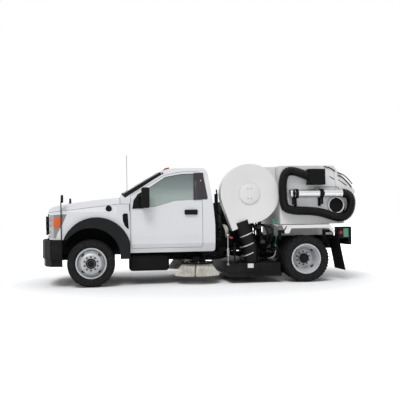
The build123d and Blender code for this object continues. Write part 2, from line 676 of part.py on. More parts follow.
def cab_cut(shares, grow, y_pair):
    """Return a plate of one of the cab's side outlines, grown all round."""
    points, radii = cab_points(shares)
    face = closed_face(points, radii)
    if grow != 0:
        face = offset(face, amount=grow, kind=Kind.INTERSECTION)
    low, high = sorted(y_pair)
    plane = Plane(origin=(0, high, 0), x_dir=(1, 0, 0), z_dir=(0, -1, 0))
    return extrude(plane * face, amount=high - low)


def windscreen_plane():
    """Return the plane of the windscreen, its Y axis running up the slope, and the slope's length."""
    points, _ = cab_points(CAB_SIDE_SHARES)
    base = points[3]
    head = points[4]
    run = (head[0] - base[0], head[1] - base[1])
    length = math.hypot(*run)
    normal = (run[1] / length, 0, -run[0] / length)
    return Plane(origin=(base[0], 0, base[1]), x_dir=(0, 1, 0), z_dir=normal), length


def windscreen_face(grow):
    """Return the windscreen's outline in its own plane."""
    _, length = windscreen_plane()
    low = WINDSCREEN_MARGINS[0] - grow
    high = length - WINDSCREEN_MARGINS[1] + grow
    base_half = WINDSCREEN_HALF_WIDTHS[0] + grow
    head_half = WINDSCREEN_HALF_WIDTHS[1] + grow
    points = [(-base_half, low), (base_half, low), (head_half, high), (-head_half, high)]
    return closed_face(points, [WINDSCREEN_CORNER] * len(points))


def rear_window_cut(grow, x_pair):
    """Return the bar of the rear window's outline."""
    low, high = REAR_WINDOW_Z
    half = REAR_WINDOW_HALF_WIDTH + grow
    points = [(-half, low - grow), (half, low - grow), (half, high + grow), (-half, high + grow)]
    return cross_profile(points, x_pair, [REAR_WINDOW_CORNER] * len(points))


def cab_shell_blank():
    """Return the cab's hollow form before its doors and windows are cut."""
    cavity = cab_form(CAB_WALL)
    half = CAB_WIDTH
    floor = box_between((behind(0), behind(2 * CAB_LENGTH)), (-half, half), (0, CAB_FLOOR_TOP))
    under_z = (0, CAB_FLOOR_TOP - CAB_FLOOR_THICKNESS)
    under = cavity & box_between((behind(0), behind(2 * CAB_LENGTH)), (-half, half), under_z)
    sill = box_between(
        (behind(0), behind(2 * CAB_LENGTH)), (3 * CAB_WALL - half / 2, half / 2 - 3 * CAB_WALL),
        (0, CAB_BOTTOM + CAB_WALL)
    )
    under += sill & cab_form(0)
    rail_slot = FRAME_WIDTH / 2 + CAB_WALL
    slot = box_between(
        (behind(0), behind(2 * CAB_LENGTH)), (-rail_slot, rail_slot), (0, FRAME_TOP + RUNNING_GAP)
    )
    return cab_form(0) - (cavity - floor) - under - slot


def cab_shell(blank):
    """Cab with its door openings and windows cut, and rubber mounts down to the rails."""
    plane, _ = windscreen_plane()
    shape = blank
    jamb = side_wall(CAB_WALL + RUNNING_GAP)
    for side in SIDES.values():
        reach = (side * CAB_WIDTH / 4, side * CAB_WIDTH)
        shape -= jamb & cab_cut(DOOR_SHARES, PANEL_GAP, reach)
        shape -= cab_cut(QUARTER_GLASS_SHARES, SEAT_GAP, reach)
    shape -= extrude(plane * windscreen_face(SEAT_GAP), amount=2 * CAB_WALL, both=True)
    rear = behind(CAB_FRONT_BACK + CAB_LENGTH)
    shape -= rear_window_cut(SEAT_GAP, (rear - 2 * CAB_WALL, rear + 3 * CAB_WALL))
    seal_z = (
        CAB_FLOOR_TOP - CAB_FLOOR_THICKNESS / 2 - DOOR_SEAL_HEIGHT / 2,
        CAB_FLOOR_TOP - CAB_FLOOR_THICKNESS / 2 + DOOR_SEAL_HEIGHT / 2
    )
    seal_x = [behind(back) for back in DOOR_SEAL_BACKS]
    inside = cab_section(CAB_WALL + SEAT_GAP)
    for side in SIDES.values():
        shape += inside & box_between(
            seal_x, (side * (CAB_WIDTH / 2 - 3 * CAB_WALL), side * CAB_WIDTH), seal_z
        )
        shape -= hood_hinge_pin(side, SEAT_GAP)
        for back in CAB_MOUNT_BACKS:
            mount_z = (FRAME_TOP + SEAT_GAP, CAB_FLOOR_TOP - CAB_FLOOR_THICKNESS / 2)
            shape += round_bar_z(behind(back), side * CAB_MOUNT_Y, CAB_MOUNT_RADIUS, mount_z)
    return shape


def hood_hinge_pin(side, grow):
    """Return one of the hood's hinge pins at the cowl, or the seat cut for it."""
    y_pair = (side * (HOOD_HINGE_Y[0] - grow), side * (HOOD_HINGE_Y[1] + grow))
    return round_bar_y(behind(HOOD_HINGE_BACK), HOOD_HINGE_HEIGHT, HOOD_HINGE_RADIUS + grow, y_pair)


def door():
    """Left door as thick as the cab's wall, its window cut."""
    reach = (CAB_WIDTH / 4, CAB_WIDTH)
    panel = side_wall(CAB_WALL) & cab_cut(DOOR_SHARES, 0, reach)
    return panel - cab_cut(DOOR_GLASS_SHARES, SEAT_GAP, reach)


def glass_skin():
    """Return the thin skin, just inside the cab's surface, that side glass is cut from."""
    return cab_form(GLASS_DEPTH) - cab_form(GLASS_DEPTH + GLASS_THICKNESS)


def cab_glass(skin):
    """Windscreen, rear window and the two quarter windows."""
    plane, _ = windscreen_plane()
    screen_plane = plane.offset(-GLASS_DEPTH - GLASS_THICKNESS)
    panes = [extrude(screen_plane * windscreen_face(0), amount=GLASS_THICKNESS)]
    for side in SIDES.values():
        reach = (side * CAB_WIDTH / 4, side * CAB_WIDTH)
        panes.append(skin & cab_cut(QUARTER_GLASS_SHARES, 0, reach))
    rear = behind(CAB_FRONT_BACK + CAB_LENGTH)
    panes.append(skin & rear_window_cut(0, (rear - CAB_WALL, rear + 3 * CAB_WALL)))
    return solids_of(*panes)


# Door furniture: towing mirror, its arms and the handle
MIRROR_BACKS = (850.0, 985.0)
MIRROR_Y = (1085.0, 1235.0)
MIRROR_Z = (1320.0, 1665.0)
MIRROR_CORNER = 28.0
MIRROR_ARM_HEIGHT_SHARES = (0.22, 0.62)
MIRROR_ARM_HALF_HEIGHT = 22.0
MIRROR_ARM_ROOT_BACKS = (748.0, 818.0)
MIRROR_ARM_HEAD_BACKS = (872.0, 920.0)
HANDLE_BACKS = (1600.0, 1812.0)
HANDLE_Z = (1200.0, 1282.0)
HANDLE_REACH = 34.0


def door_trim():
    """Left mirror with two arms on the door, and the pull handle."""
    head = box_between([behind(back) for back in MIRROR_BACKS], MIRROR_Y, MIRROR_Z)
    head = fillet(head.edges(), radius=MIRROR_CORNER)
    low, high = MIRROR_Z
    for share in MIRROR_ARM_HEIGHT_SHARES:
        z = low + share * (high - low)
        arm_z = (z - MIRROR_ARM_HALF_HEIGHT, z + MIRROR_ARM_HALF_HEIGHT)
        root_y, head_y = CAB_WIDTH / 2 - 2 * CAB_WALL, MIRROR_Y[0] + MIRROR_CORNER
        front_root, rear_root = [behind(back) for back in MIRROR_ARM_ROOT_BACKS]
        front_head, rear_head = [behind(back) for back in MIRROR_ARM_HEAD_BACKS]
        arm_points = [(front_root, root_y), (front_head, head_y), (rear_head, head_y), (rear_root, root_y)]
        head += plan_profile(arm_points, arm_z)
    handle_y = (CAB_WIDTH / 2 - CAB_WALL, CAB_WIDTH / 2 + HANDLE_REACH)
    handle = box_between([behind(back) for back in HANDLE_BACKS], handle_y, HANDLE_Z)
    keep = cab_form(-SEAT_GAP)
    return solids_of(head - keep, handle - keep)


# Cab interior
DASH_BACKS = (722.0, 980.0)
DASH_HALF_WIDTH = 880.0
DASH_Z = (1130.0, 1440.0)
DASH_CORNER = 70.0
SEAT_BACKS = (1420.0, 1960.0)
SEAT_HALF_WIDTH = 780.0
SEAT_CUSHION_Z = (990.0, 1150.0)
SEAT_BASE_INSET = 80.0
BACKREST_THICKNESS = 150.0
BACKREST_TOP = 1700.0
BACKREST_LEAN = 70.0
STEERING_Y = 400.0
STEERING_WHEEL_RADIUS = 190.0
STEERING_WHEEL_RIM = 15.0
STEERING_WHEEL_BACK = 1130.0
STEERING_WHEEL_HEIGHT = 1400.0
STEERING_TILT = 28.0
COLUMN_RADIUS = 32.0
COLUMN_LENGTH = 330.0


def dashboard():
    """Dashboard across the cab with the steering column and wheel."""
    dash_x = (behind(DASH_BACKS[0]) + CAB_WALL, behind(DASH_BACKS[1]))
    body = box_between(dash_x, (-DASH_HALF_WIDTH, DASH_HALF_WIDTH), DASH_Z)
    rear_edges = body.edges().filter_by(Axis.Y).sort_by(Axis.X)[:2]
    body = fillet(rear_edges, radius=DASH_CORNER) & cab_form(CAB_WALL + SEAT_GAP)
    axis = Pos(behind(STEERING_WHEEL_BACK), STEERING_Y, STEERING_WHEEL_HEIGHT) * Rot(0, 90 + STEERING_TILT, 0)
    wheel = Torus(STEERING_WHEEL_RADIUS, STEERING_WHEEL_RIM)
    spoke = Box(2 * STEERING_WHEEL_RADIUS, 2 * STEERING_WHEEL_RIM, STEERING_WHEEL_RIM)
    column = Cylinder(COLUMN_RADIUS, COLUMN_LENGTH, align=(Align.CENTER, Align.CENTER, Align.MIN))
    return body + axis * (wheel + spoke + Rot(0, 0, 90) * spoke + column)


def bench_seat():
    """Bench seat on its base, with a leaning backrest."""
    front, rear = [behind(back) for back in SEAT_BACKS]
    half = SEAT_HALF_WIDTH
    base_x = (front - SEAT_BASE_INSET, rear + SEAT_BASE_INSET)
    base = box_between(
        base_x, (-half + SEAT_BASE_INSET, half - SEAT_BASE_INSET), (CAB_FLOOR_TOP, SEAT_CUSHION_Z[0])
    )
    cushion = box_between((front, rear), (-half, half), SEAT_CUSHION_Z)
    low = SEAT_CUSHION_Z[1]
    lean = BACKREST_LEAN
    back_points = [
        (rear + BACKREST_THICKNESS + lean, low), (rear + lean, low), (rear, BACKREST_TOP),
        (rear + BACKREST_THICKNESS / 2, BACKREST_TOP),
    ]
    return base + cushion + side_profile(back_points, (-half, half))


# Hood, fenders, grille and headlamps are cut from one hollow front form.
# Side outline as (share of length, share of height), front to rear over the top
CLIP_FRONT_BACK = -772.0
CLIP_REAR_BACK = 484.0
CLIP_BOTTOM = 560.0
CLIP_HEIGHT = 980.0
CLIP_WALL = 35.0
CLIP_SIDE_SHARES = [
    (0.0, 0.0), (0.0, 0.70), (0.035, 0.765), (0.10, 0.815), (0.22, 0.853), (0.50, 0.905), (1.0, 0.99),
    (1.0, 0.0),
]
# Section as (share of half the width, share of height)
CLIP_SECTION_SHARES = [
    (0.0, 0.0), (0.985, 0.0), (1.0, 0.35), (1.0, 0.62), (0.985, 0.72), (0.93, 0.80), (0.82, 0.87),
    (0.68, 0.93), (0.40, 0.975), (0.0, 1.0),
]
# Plan as (share of length, share of half the width)
CLIP_PLAN_SHARES = [
    (0.0, 0.0), (0.012, 0.45), (0.05, 0.72), (0.12, 0.88), (0.24, 0.97), (0.38, 0.995),
    (1.0, 1.0), (1.0, 0.0),
]
CLIP_HALF_WIDTH = 1006.0
# The seam under the hood runs from front to rear at these shares of the height
HOOD_SEAM_SHARES = (0.715, 0.855)
FENDER_INNER_Y = 560.0
FENDER_REAR_GAP_BACK = 656.0
ARCH_RADIUS = 506.0
ARCH_BACK = -2.0
ARCH_HEIGHT = 500.0
FENDER_FRONT_BOTTOM = 806.0
FENDER_FRONT_BACK = -400.0
GRILLE_HALF_WIDTH = 720.0
GRILLE_Z = (830.0, 1250.0)
GRILLE_DEPTH = 60.0
GRILLE_RIM = 45.0
GRILLE_BAR_COUNT = 3
GRILLE_BAR_HEIGHT = 40.0
GRILLE_BAR_PROUD = 26.0
GRILLE_MESH_SETBACK = 30.0
LAMP_INNER_Y = 735.0
LAMP_DEPTH = 110.0
# Headlamp outline as (share of the clip's length, share of its height)
LAMP_SHARES = [(-0.02, 0.28), (-0.02, 0.675), (0.30, 0.69), (0.235, 0.50), (0.17, 0.36), (0.15, 0.28)]


def clip_box_points(shares):
    """Return points from a table of shares of the front form's side box."""
    length = CLIP_REAR_BACK - CLIP_FRONT_BACK
    return place_shares(shares, (behind(CLIP_FRONT_BACK), CLIP_BOTTOM), (-length, CLIP_HEIGHT))


def clip_form(inset):
    """Return the outer form of the nose, hood and fenders, or the form inside their wall."""
    length = CLIP_REAR_BACK - CLIP_FRONT_BACK
    front = behind(CLIP_FRONT_BACK)
    side_face = closed_face(clip_box_points(CLIP_SIDE_SHARES))
    section = [(u * CLIP_HALF_WIDTH, CLIP_BOTTOM + v * CLIP_HEIGHT) for u, v in CLIP_SECTION_SHARES]
    section_face = closed_face(both_halves(section))
    plan = place_shares(CLIP_PLAN_SHARES, (front, 0), (-length, CLIP_HALF_WIDTH))
    plan_face = closed_face(plan[:-1] + [(x, -y) for x, y in reversed(plan[1:-1])])
    faces = [side_face, section_face, plan_face]
    if inset > 0:
        faces = [offset(face, amount=-inset, kind=Kind.INTERSECTION) for face in faces]
    side_plane = Plane(origin=(0, 2 * CLIP_HALF_WIDTH, 0), x_dir=(1, 0, 0), z_dir=(0, -1, 0))
    section_plane = Plane(origin=(front - 2 * length, 0, 0), x_dir=(0, 1, 0), z_dir=(1, 0, 0))
    shape = extrude(side_plane * faces[0], amount=4 * CLIP_HALF_WIDTH)
    shape &= extrude(section_plane * faces[1], amount=4 * length)
    return shape & extrude(faces[2], amount=2 * (CLIP_BOTTOM + CLIP_HEIGHT))


def open_clip():
    """Return the front form's wall, open below and to the rear."""
    inner = clip_form(CLIP_WALL)
    low = box_between(
        (behind(-FRONT_OVERHANG), behind(CAB_LENGTH)), (-CAB_WIDTH, CAB_WIDTH),
        (0, CLIP_BOTTOM + 2 * CLIP_WALL)
    )
    inner_low = inner.moved(Location((0, 0, -2 * CLIP_WALL)))
    inner_rear = inner.moved(Location((-2 * CLIP_WALL, 0, 0)))
    shape = clip_form(0) - inner - inner_rear
    return shape - (inner_low & low)


def above_seam(gap):
    """Return the space over the hood's seam, raised by a gap."""
    front_share, rear_share = HOOD_SEAM_SHARES
    points = clip_box_points([(-0.2, front_share), (0.0, front_share), (1.0, rear_share), (1.2, rear_share),
                              (1.2, 1.5), (-0.2, 1.5)])
    raised = [(x, z + gap) for x, z in points]
    return side_profile(raised, (-CAB_WIDTH, CAB_WIDTH))


def hood(clip):
    """Clamshell hood with a short front lip, hinged at the cowl."""
    shape = clip & above_seam(PANEL_GAP / 2)
    for side in SIDES.values():
        shape += hood_hinge_pin(side, 0)
    return shape


def lamp_cut(grow):
    """Return the left headlamp's space in the nose."""
    points = clip_box_points(LAMP_SHARES)
    face_cut = side_profile(points, (LAMP_INNER_Y - grow, CAB_WIDTH))
    if grow > 0:
        face = offset(closed_face(points), amount=grow, kind=Kind.INTERSECTION)
        plane = Plane(origin=(0, CAB_WIDTH, 0), x_dir=(1, 0, 0), z_dir=(0, -1, 0))
        face_cut = extrude(plane * face, amount=CAB_WIDTH - LAMP_INNER_Y + grow)
    return face_cut


def headlamp():
    """Left headlamp as a deep lens that follows the nose."""
    return (clip_form(0) - clip_form(LAMP_DEPTH)) & lamp_cut(0)


def arch_cut():
    """Return the bar that opens the left wheel arch."""
    x = behind(ARCH_BACK)
    return round_bar_y(x, ARCH_HEIGHT, ARCH_RADIUS, (FENDER_INNER_Y, CAB_WIDTH))


def fender(clip):
    """Left fender from the headlamp to the door, with its wheel arch and lower rear panel."""
    shape = clip - above_seam(-PANEL_GAP / 2)
    half = box_between(
        (behind(-FRONT_OVERHANG), behind(CAB_LENGTH)), (FENDER_INNER_Y, CAB_WIDTH),
        (0, CLIP_BOTTOM + 2 * CLIP_HEIGHT)
    )
    shape &= half
    front_x = (behind(-FRONT_OVERHANG), behind(FENDER_FRONT_BACK))
    shape -= box_between(front_x, (0, CAB_WIDTH), (0, FENDER_FRONT_BOTTOM))
    shape -= box_between(front_x, (0, GRILLE_HALF_WIDTH + SEAT_GAP), (0, CLIP_BOTTOM + CLIP_HEIGHT))
    shape -= lamp_cut(SEAT_GAP)
    skirt_z = (CLIP_BOTTOM, CLIP_BOTTOM + CLIP_SECTION_SHARES[4][1] * CLIP_HEIGHT)
    skirt_x = (behind(CLIP_REAR_BACK - CLIP_WALL), behind(FENDER_REAR_GAP_BACK))
    shape += box_between(skirt_x, (CLIP_HALF_WIDTH - CLIP_WALL, CLIP_HALF_WIDTH), skirt_z)
    rear_top = clip_box_points([(0.96, 0.70), (1.13, 0.70), (1.13, 0.865), (0.96, 0.845)])
    strip = side_profile(rear_top, (CLIP_HALF_WIDTH - 3 * CLIP_WALL, CLIP_HALF_WIDTH - CLIP_WALL / 2))
    shape += strip - cab_form(-SEAT_GAP)
    return shape - arch_cut()


# Black wheel flares and wheelhouse liners
FLARE_RADIUS = 586.0
FLARE_BACK = 91.0
FLARE_HEIGHT = 590.0
FLARE_Y = (985.0, 1062.0)
LINER_THICKNESS = 8.0
LINER_INNER_Y = 600.0
FLARE_BOTTOM = 465.0
FLARE_REAR_BACK = 655.0
SPLASH_BACKS = (-655.0, -380.0)
SPLASH_Y = (588.0, 602.0)
SPLASH_Z = (600.0, 900.0)


def wheel_flare():
    """Left flare outside the fender, one piece with the liner over the wheel."""
    x = behind(ARCH_BACK)
    opening = ARCH_RADIUS - LINER_THICKNESS
    flare = round_bar_y(behind(FLARE_BACK), FLARE_HEIGHT, FLARE_RADIUS, (CLIP_HALF_WIDTH, FLARE_Y[1]))
    liner = round_bar_y(x, ARCH_HEIGHT, ARCH_RADIUS - SEAT_GAP, (LINER_INNER_Y, FLARE_Y[1]))
    shape = flare + liner - round_bar_y(x, ARCH_HEIGHT, opening, (0, CAB_WIDTH))
    keep_x = (behind(FLARE_REAR_BACK), behind(-FRONT_OVERHANG))
    keep_z = (FLARE_BOTTOM, CLIP_BOTTOM + CLIP_HEIGHT)
    shape &= box_between(keep_x, (0, CAB_WIDTH), keep_z)
    front_low = box_between(
        (behind(FENDER_FRONT_BACK), behind(-FRONT_OVERHANG)), (0, CAB_WIDTH), (0, FENDER_FRONT_BOTTOM)
    )
    splash = box_between([behind(back) for back in SPLASH_BACKS], SPLASH_Y, SPLASH_Z)
    splash -= round_bar_y(x, ARCH_HEIGHT, opening, (0, CAB_WIDTH))
    return shape - front_low + splash


def grille():
    """Grille with a rim, proud bars and a recessed backing that follow the nose."""
    low, high = GRILLE_Z
    half = GRILLE_HALF_WIDTH
    x_pair = (behind(-FRONT_OVERHANG), behind(FENDER_FRONT_BACK))
    window = box_between(x_pair, (-half, half), (low, high))
    inner = box_between(
        x_pair, (-half + GRILLE_RIM, half - GRILLE_RIM), (low + GRILLE_RIM, high - GRILLE_RIM)
    )
    wall = clip_form(0) - clip_form(GRILLE_DEPTH)
    rim = (wall & window) - inner
    backing = (clip_form(GRILLE_MESH_SETBACK) - clip_form(GRILLE_DEPTH)) & window
    shape = rim + backing
    pitch = (high - low) / (GRILLE_BAR_COUNT + 1)
    proud = Pos(GRILLE_BAR_PROUD, 0, 0) * clip_form(0) - clip_form(GRILLE_MESH_SETBACK)
    for index in range(GRILLE_BAR_COUNT):
        z = low + (index + 1) * pitch
        bar_z = (z - GRILLE_BAR_HEIGHT / 2, z + GRILLE_BAR_HEIGHT / 2)
        shape += proud & box_between(x_pair, (-half + PANEL_GAP, half - PANEL_GAP), bar_z)
    return shape


# Antenna at the right pillar's foot
ANTENNA_BACK = 654.0
ANTENNA_Y = -950.0
ANTENNA_RADIUS = 4.0
ANTENNA_Z = (1500.0, 2405.0)
ANTENNA_FOOT_RADIUS = 16.0
# Round mirrors on stalks over the bumper's ends, which show the road beside the front wheels
STALK_BACK = -490.0
STALK_Y = 990.0
STALK_RADIUS = 9.0
STALK_TOP = 1460.0
ROUND_MIRROR_BACK = -468.0
ROUND_MIRROR_Y = 1040.0
ROUND_MIRROR_HEIGHT = 1493.0
ROUND_MIRROR_RADIUS = 66.0
ROUND_MIRROR_DEPTH = 34.0
ROUND_MIRROR_RIM = 10.0


def round_mirror():
    """Left stalk on the bumper's end with its round mirror, dished at the rear for the glass."""
    x = behind(ROUND_MIRROR_BACK)
    back, front = x - ROUND_MIRROR_DEPTH / 2, x + ROUND_MIRROR_DEPTH / 2
    head = round_bar_x(ROUND_MIRROR_Y, ROUND_MIRROR_HEIGHT, ROUND_MIRROR_RADIUS, (back, front))
    glass_x = (back - CUT_OVERRUN, back + ROUND_MIRROR_RIM)
    head -= round_bar_x(ROUND_MIRROR_Y, ROUND_MIRROR_HEIGHT, ROUND_MIRROR_RADIUS - ROUND_MIRROR_RIM, glass_x)
    stalk = round_bar_z(behind(STALK_BACK), STALK_Y, STALK_RADIUS, (BUMPER_Z[1] + SEAT_GAP, STALK_TOP))
    return head + stalk


def cab_trim():
    """Antenna, and the round mirrors whose stalks stand on the bumper."""
    foot_z = (ANTENNA_Z[0], ANTENNA_Z[0] + 6 * ANTENNA_FOOT_RADIUS)
    antenna = round_bar_z(behind(ANTENNA_BACK), ANTENNA_Y, ANTENNA_RADIUS, ANTENNA_Z)
    antenna += round_bar_z(behind(ANTENNA_BACK), ANTENNA_Y, ANTENNA_FOOT_RADIUS, foot_z)
    antenna = (antenna - cab_form(0)).solids().sort_by(Axis.Z)[-1]
    mirror = round_mirror()
    return solids_of(antenna, mirror, mirrored(mirror))


# Lamps: roof markers across the cab and round tail lamps
ROOF_LAMP_COUNT = 5
ROOF_LAMP_PITCH = 270.0
ROOF_LAMP_HALF_LENGTH = 45.0
ROOF_LAMP_HALF_WIDTH = 26.0
ROOF_LAMP_HEIGHT = 38.0
ROOF_LAMP_BACK = 1330.0


def roof_lamps():
    """Row of marker lamps seated on the roof's front edge."""
    roof = cab_form(0)
    lamps = []
    for index in range(ROOF_LAMP_COUNT):
        y = (index - (ROOF_LAMP_COUNT - 1) / 2) * ROOF_LAMP_PITCH
        lamp_x = (
            behind(ROOF_LAMP_BACK) - ROOF_LAMP_HALF_LENGTH, behind(ROOF_LAMP_BACK) + ROOF_LAMP_HALF_LENGTH
        )
        lamp_y = (y - ROOF_LAMP_HALF_WIDTH, y + ROOF_LAMP_HALF_WIDTH)
        raised = Pos(0, 0, ROOF_LAMP_HEIGHT) * roof
        lamps.append((raised - roof) & box_between(lamp_x, lamp_y, (CAB_BOTTOM, CAB_BOTTOM + 2 * CAB_HEIGHT)))
    return lamps


# Hopper: side outline in shares of its own box
HOPPER_FRONT_BACK = 3290.0
HOPPER_LENGTH = 1371.0
HOPPER_BOTTOM = 1000.0
HOPPER_WALL = 25.0
HOPPER_SHARES = [(0.0, 0.0), (0.0, 1.0), (0.71, 1.0), (0.80, 0.0)]
DOOR_WEDGE_SHARES = [(0.71, 1.0), (1.0, 0.56), (0.835, 0.0), (0.80, 0.0)]
HOPPER_PIVOT_BACK = 4380.0
HOPPER_PIVOT_HEIGHT = 850.0
PIVOT_PIN_RADIUS = 24.0
SILL_Y = (440.0, 480.0)
SILL_REAR_BACK = 4404.0
SUBFRAME_Y = (362.0, 424.0)
SUBFRAME_HEIGHT = 60.0
SUBFRAME_BACKS = (2180.0, 4440.0)
HOPPER_DOOR_LUG_RADIUS = 22.0
HOPPER_DOOR_LUG_WIDTH = 40.0
HOPPER_DOOR_LUG_Y = 700.0


def hopper_points(shares):
    """Return points from shares of the hopper's side box."""
    height = HOPPER_TOP - HOPPER_BOTTOM
    return place_shares(shares, (behind(HOPPER_FRONT_BACK), HOPPER_BOTTOM), (-HOPPER_LENGTH, height))


def open_trough(shares, wall, open_edge):
    """Return a hollow body of an outline, its wall missing along one of the outline's edges."""
    half = HOPPER_WIDTH / 2
    points = hopper_points(shares)
    outer = side_profile(points, (-half, half))
    inner_face = offset(closed_face(points), amount=-wall, kind=Kind.INTERSECTION)
    plane = Plane(origin=(0, half - wall, 0), x_dir=(1, 0, 0), z_dir=(0, -1, 0))
    inner = extrude(plane * inner_face, amount=2 * (half - wall))
    start, end = points[open_edge], points[(open_edge + 1) % len(points)]
    away = Vector(end[1] - start[1], 0, start[0] - end[0]).normalized() * (2 * wall)
    middle_x = sum(x for x, _ in points) / len(points)
    if away.X * (middle_x - start[0]) > 0:
        away = away * -1
    return outer - inner - inner.moved(Location((away.X, 0, away.Z)))


def hopper():
    """Hopper open to the rear, with the two sills that it tilts on."""
    shape = open_trough(HOPPER_SHARES, HOPPER_WALL, 2)
    bottom = FRAME_TOP + SEAT_GAP + SUBFRAME_HEIGHT + SEAT_GAP
    for side in SIDES.values():
        sill_y = (side * SILL_Y[0], side * SILL_Y[1])
        rear_top = HOPPER_PIVOT_HEIGHT + 2 * PIVOT_PIN_RADIUS
        sill_points = [
            (behind(HOPPER_FRONT_BACK), bottom), (behind(SILL_REAR_BACK), bottom),
            (behind(SILL_REAR_BACK), rear_top),
            (behind(HOPPER_PIVOT_BACK) + 2 * PIVOT_PIN_RADIUS, HOPPER_BOTTOM),
            (behind(HOPPER_FRONT_BACK), HOPPER_BOTTOM),
        ]
        shape += side_profile(sill_points, sill_y)
        bore_y = (side * (SILL_Y[0] - CUT_OVERRUN), side * (SILL_Y[1] + CUT_OVERRUN))
        shape -= round_bar_y(
            behind(HOPPER_PIVOT_BACK), HOPPER_PIVOT_HEIGHT, PIVOT_PIN_RADIUS + SEAT_GAP, bore_y
        )
        shape += lift_lug(side)
        hinge_x, hinge_z = hopper_points([HOPPER_SHARES[2]])[0]
        lug_y = side * HOPPER_DOOR_LUG_Y
        shape += round_bar_y(
            hinge_x, hinge_z, HOPPER_DOOR_LUG_RADIUS, (lug_y, lug_y + side * HOPPER_DOOR_LUG_WIDTH)
        )
    return shape


def hopper_door():
    """Hollow rear door, closed behind and open to the hopper, hinged at the top."""
    shape = Pos(-PANEL_GAP, 0, 0) * open_trough(DOOR_WEDGE_SHARES, HOPPER_WALL, 3)
    hinge_x, hinge_z = hopper_points([HOPPER_SHARES[2]])[0]
    for side in SIDES.values():
        lug_y = side * HOPPER_DOOR_LUG_Y
        relief = (lug_y - side * PANEL_GAP, lug_y + side * (HOPPER_DOOR_LUG_WIDTH + PANEL_GAP))
        shape -= round_bar_y(hinge_x, hinge_z, HOPPER_DOOR_LUG_RADIUS + PANEL_GAP, relief)
    return shape


# Lift cylinders: base on the frame, eye under the hopper, one each side
LIFT_BASE_BACK = 4250.0
LIFT_BASE_HEIGHT = 600.0
LIFT_EYE_BACK = 4050.0
LIFT_EYE_HEIGHT = 962.0
LIFT_Y = 300.0
LIFT_BARREL_RADIUS = 38.0
LIFT_ROD_RADIUS = 20.0
LIFT_BARREL_SHARE = 0.62
LIFT_EYE_RADIUS = 28.0
LIFT_EYE_HALF_WIDTH = 24.0
LIFT_PIN_RADIUS = 15.0
LIFT_LUG_WIDTH = 20.0


def lift_ends():
    """Return the base point, the eye point and the unit vector from one to the other, in XZ."""
    base = (behind(LIFT_BASE_BACK), LIFT_BASE_HEIGHT)
    eye = (behind(LIFT_EYE_BACK), LIFT_EYE_HEIGHT)
    length = math.dist(base, eye)
    return base, eye, ((eye[0] - base[0]) / length, (eye[1] - base[1]) / length), length


def lift_lug(side):
    """Lug under the hopper with the pin that the rod's eye turns on."""
    _, eye, _, _ = lift_ends()
    outer = side * (LIFT_Y + LIFT_EYE_HALF_WIDTH + SEAT_GAP)
    plate_y = (outer, outer + side * LIFT_LUG_WIDTH)
    plate_x = (eye[0] - LIFT_EYE_RADIUS, eye[0] + LIFT_EYE_RADIUS)
    return box_between(plate_x, plate_y, (eye[1] - LIFT_EYE_RADIUS, HOPPER_BOTTOM + HOPPER_WALL / 2))


def lift_barrels():
    """Two barrels, each with its base eye, as separate solids on one axis."""
    base, _, along, length = lift_ends()
    barrels = []
    for side in SIDES.values():
        y = side * LIFT_Y
        start = (base[0], y, base[1])
        end = (
            base[0] + along[0] * length * LIFT_BARREL_SHARE, y,
            base[1] + along[1] * length * LIFT_BARREL_SHARE
        )
        barrel = rod_between(start, end, LIFT_BARREL_RADIUS)
        inset = LIFT_BARREL_RADIUS * 3 / 2
        bore_start = (base[0] + along[0] * inset, y, base[1] + along[1] * inset)
        bore_end = (base[0] + along[0] * length, y, base[1] + along[1] * length)
        barrel -= rod_between(bore_start, bore_end, LIFT_ROD_RADIUS + SEAT_GAP)
        eye_y = (y - LIFT_EYE_HALF_WIDTH, y + LIFT_EYE_HALF_WIDTH)
        eye = round_bar_y(base[0], base[1], LIFT_BARREL_RADIUS, eye_y)
        bore = round_bar_y(
            base[0], base[1], LIFT_PIN_RADIUS + SEAT_GAP, (y - LIFT_BARREL_RADIUS, y + LIFT_BARREL_RADIUS)
        )
        barrels.append(barrel + eye - bore)
    return solids_of(*barrels)


def lift_rods():
    """Two rods that slide out of the barrels, each with its eye."""
    base, eye, along, _ = lift_ends()
    rods = []
    for side in SIDES.values():
        y = side * LIFT_Y
        inset = 2 * LIFT_BARREL_RADIUS
        start = (base[0] + along[0] * inset, y, base[1] + along[1] * inset)
        rod = rod_between(start, (eye[0], y, eye[1]), LIFT_ROD_RADIUS)
        rod += round_bar_y(
            eye[0], eye[1], LIFT_EYE_RADIUS, (y - LIFT_EYE_HALF_WIDTH, y + LIFT_EYE_HALF_WIDTH)
        )
        rods.append(rod)
    return solids_of(*rods)


# Fan scroll: outline of a circle drawn out to a tip low at the front
FAN_BACK = 2755.0
FAN_HEIGHT = 1550.0
FAN_Y = (700.0, 950.0)
FAN_TIP_BACK = 2435.0
FAN_TIP_DROP = 650.0
FAN_HEEL_BACK = 2790.0
FAN_HEEL_DROP = 504.0
FAN_RIM_DEPTH = 26.0
FAN_DISH_DEPTH = 60.0
FAN_HUB_RADIUS = 182.0
FAN_HUB_DEPTH = 22.0
# Intake duct between the fan's inner face and the hopper, as a round end and a straight neck
INTAKE_INNER_Y = 570.0
INTAKE_RADIUS = 235.0
INTAKE_NECK_Z = (1560.0, 2030.0)
INTAKE_NECK_BACK = 3282.0


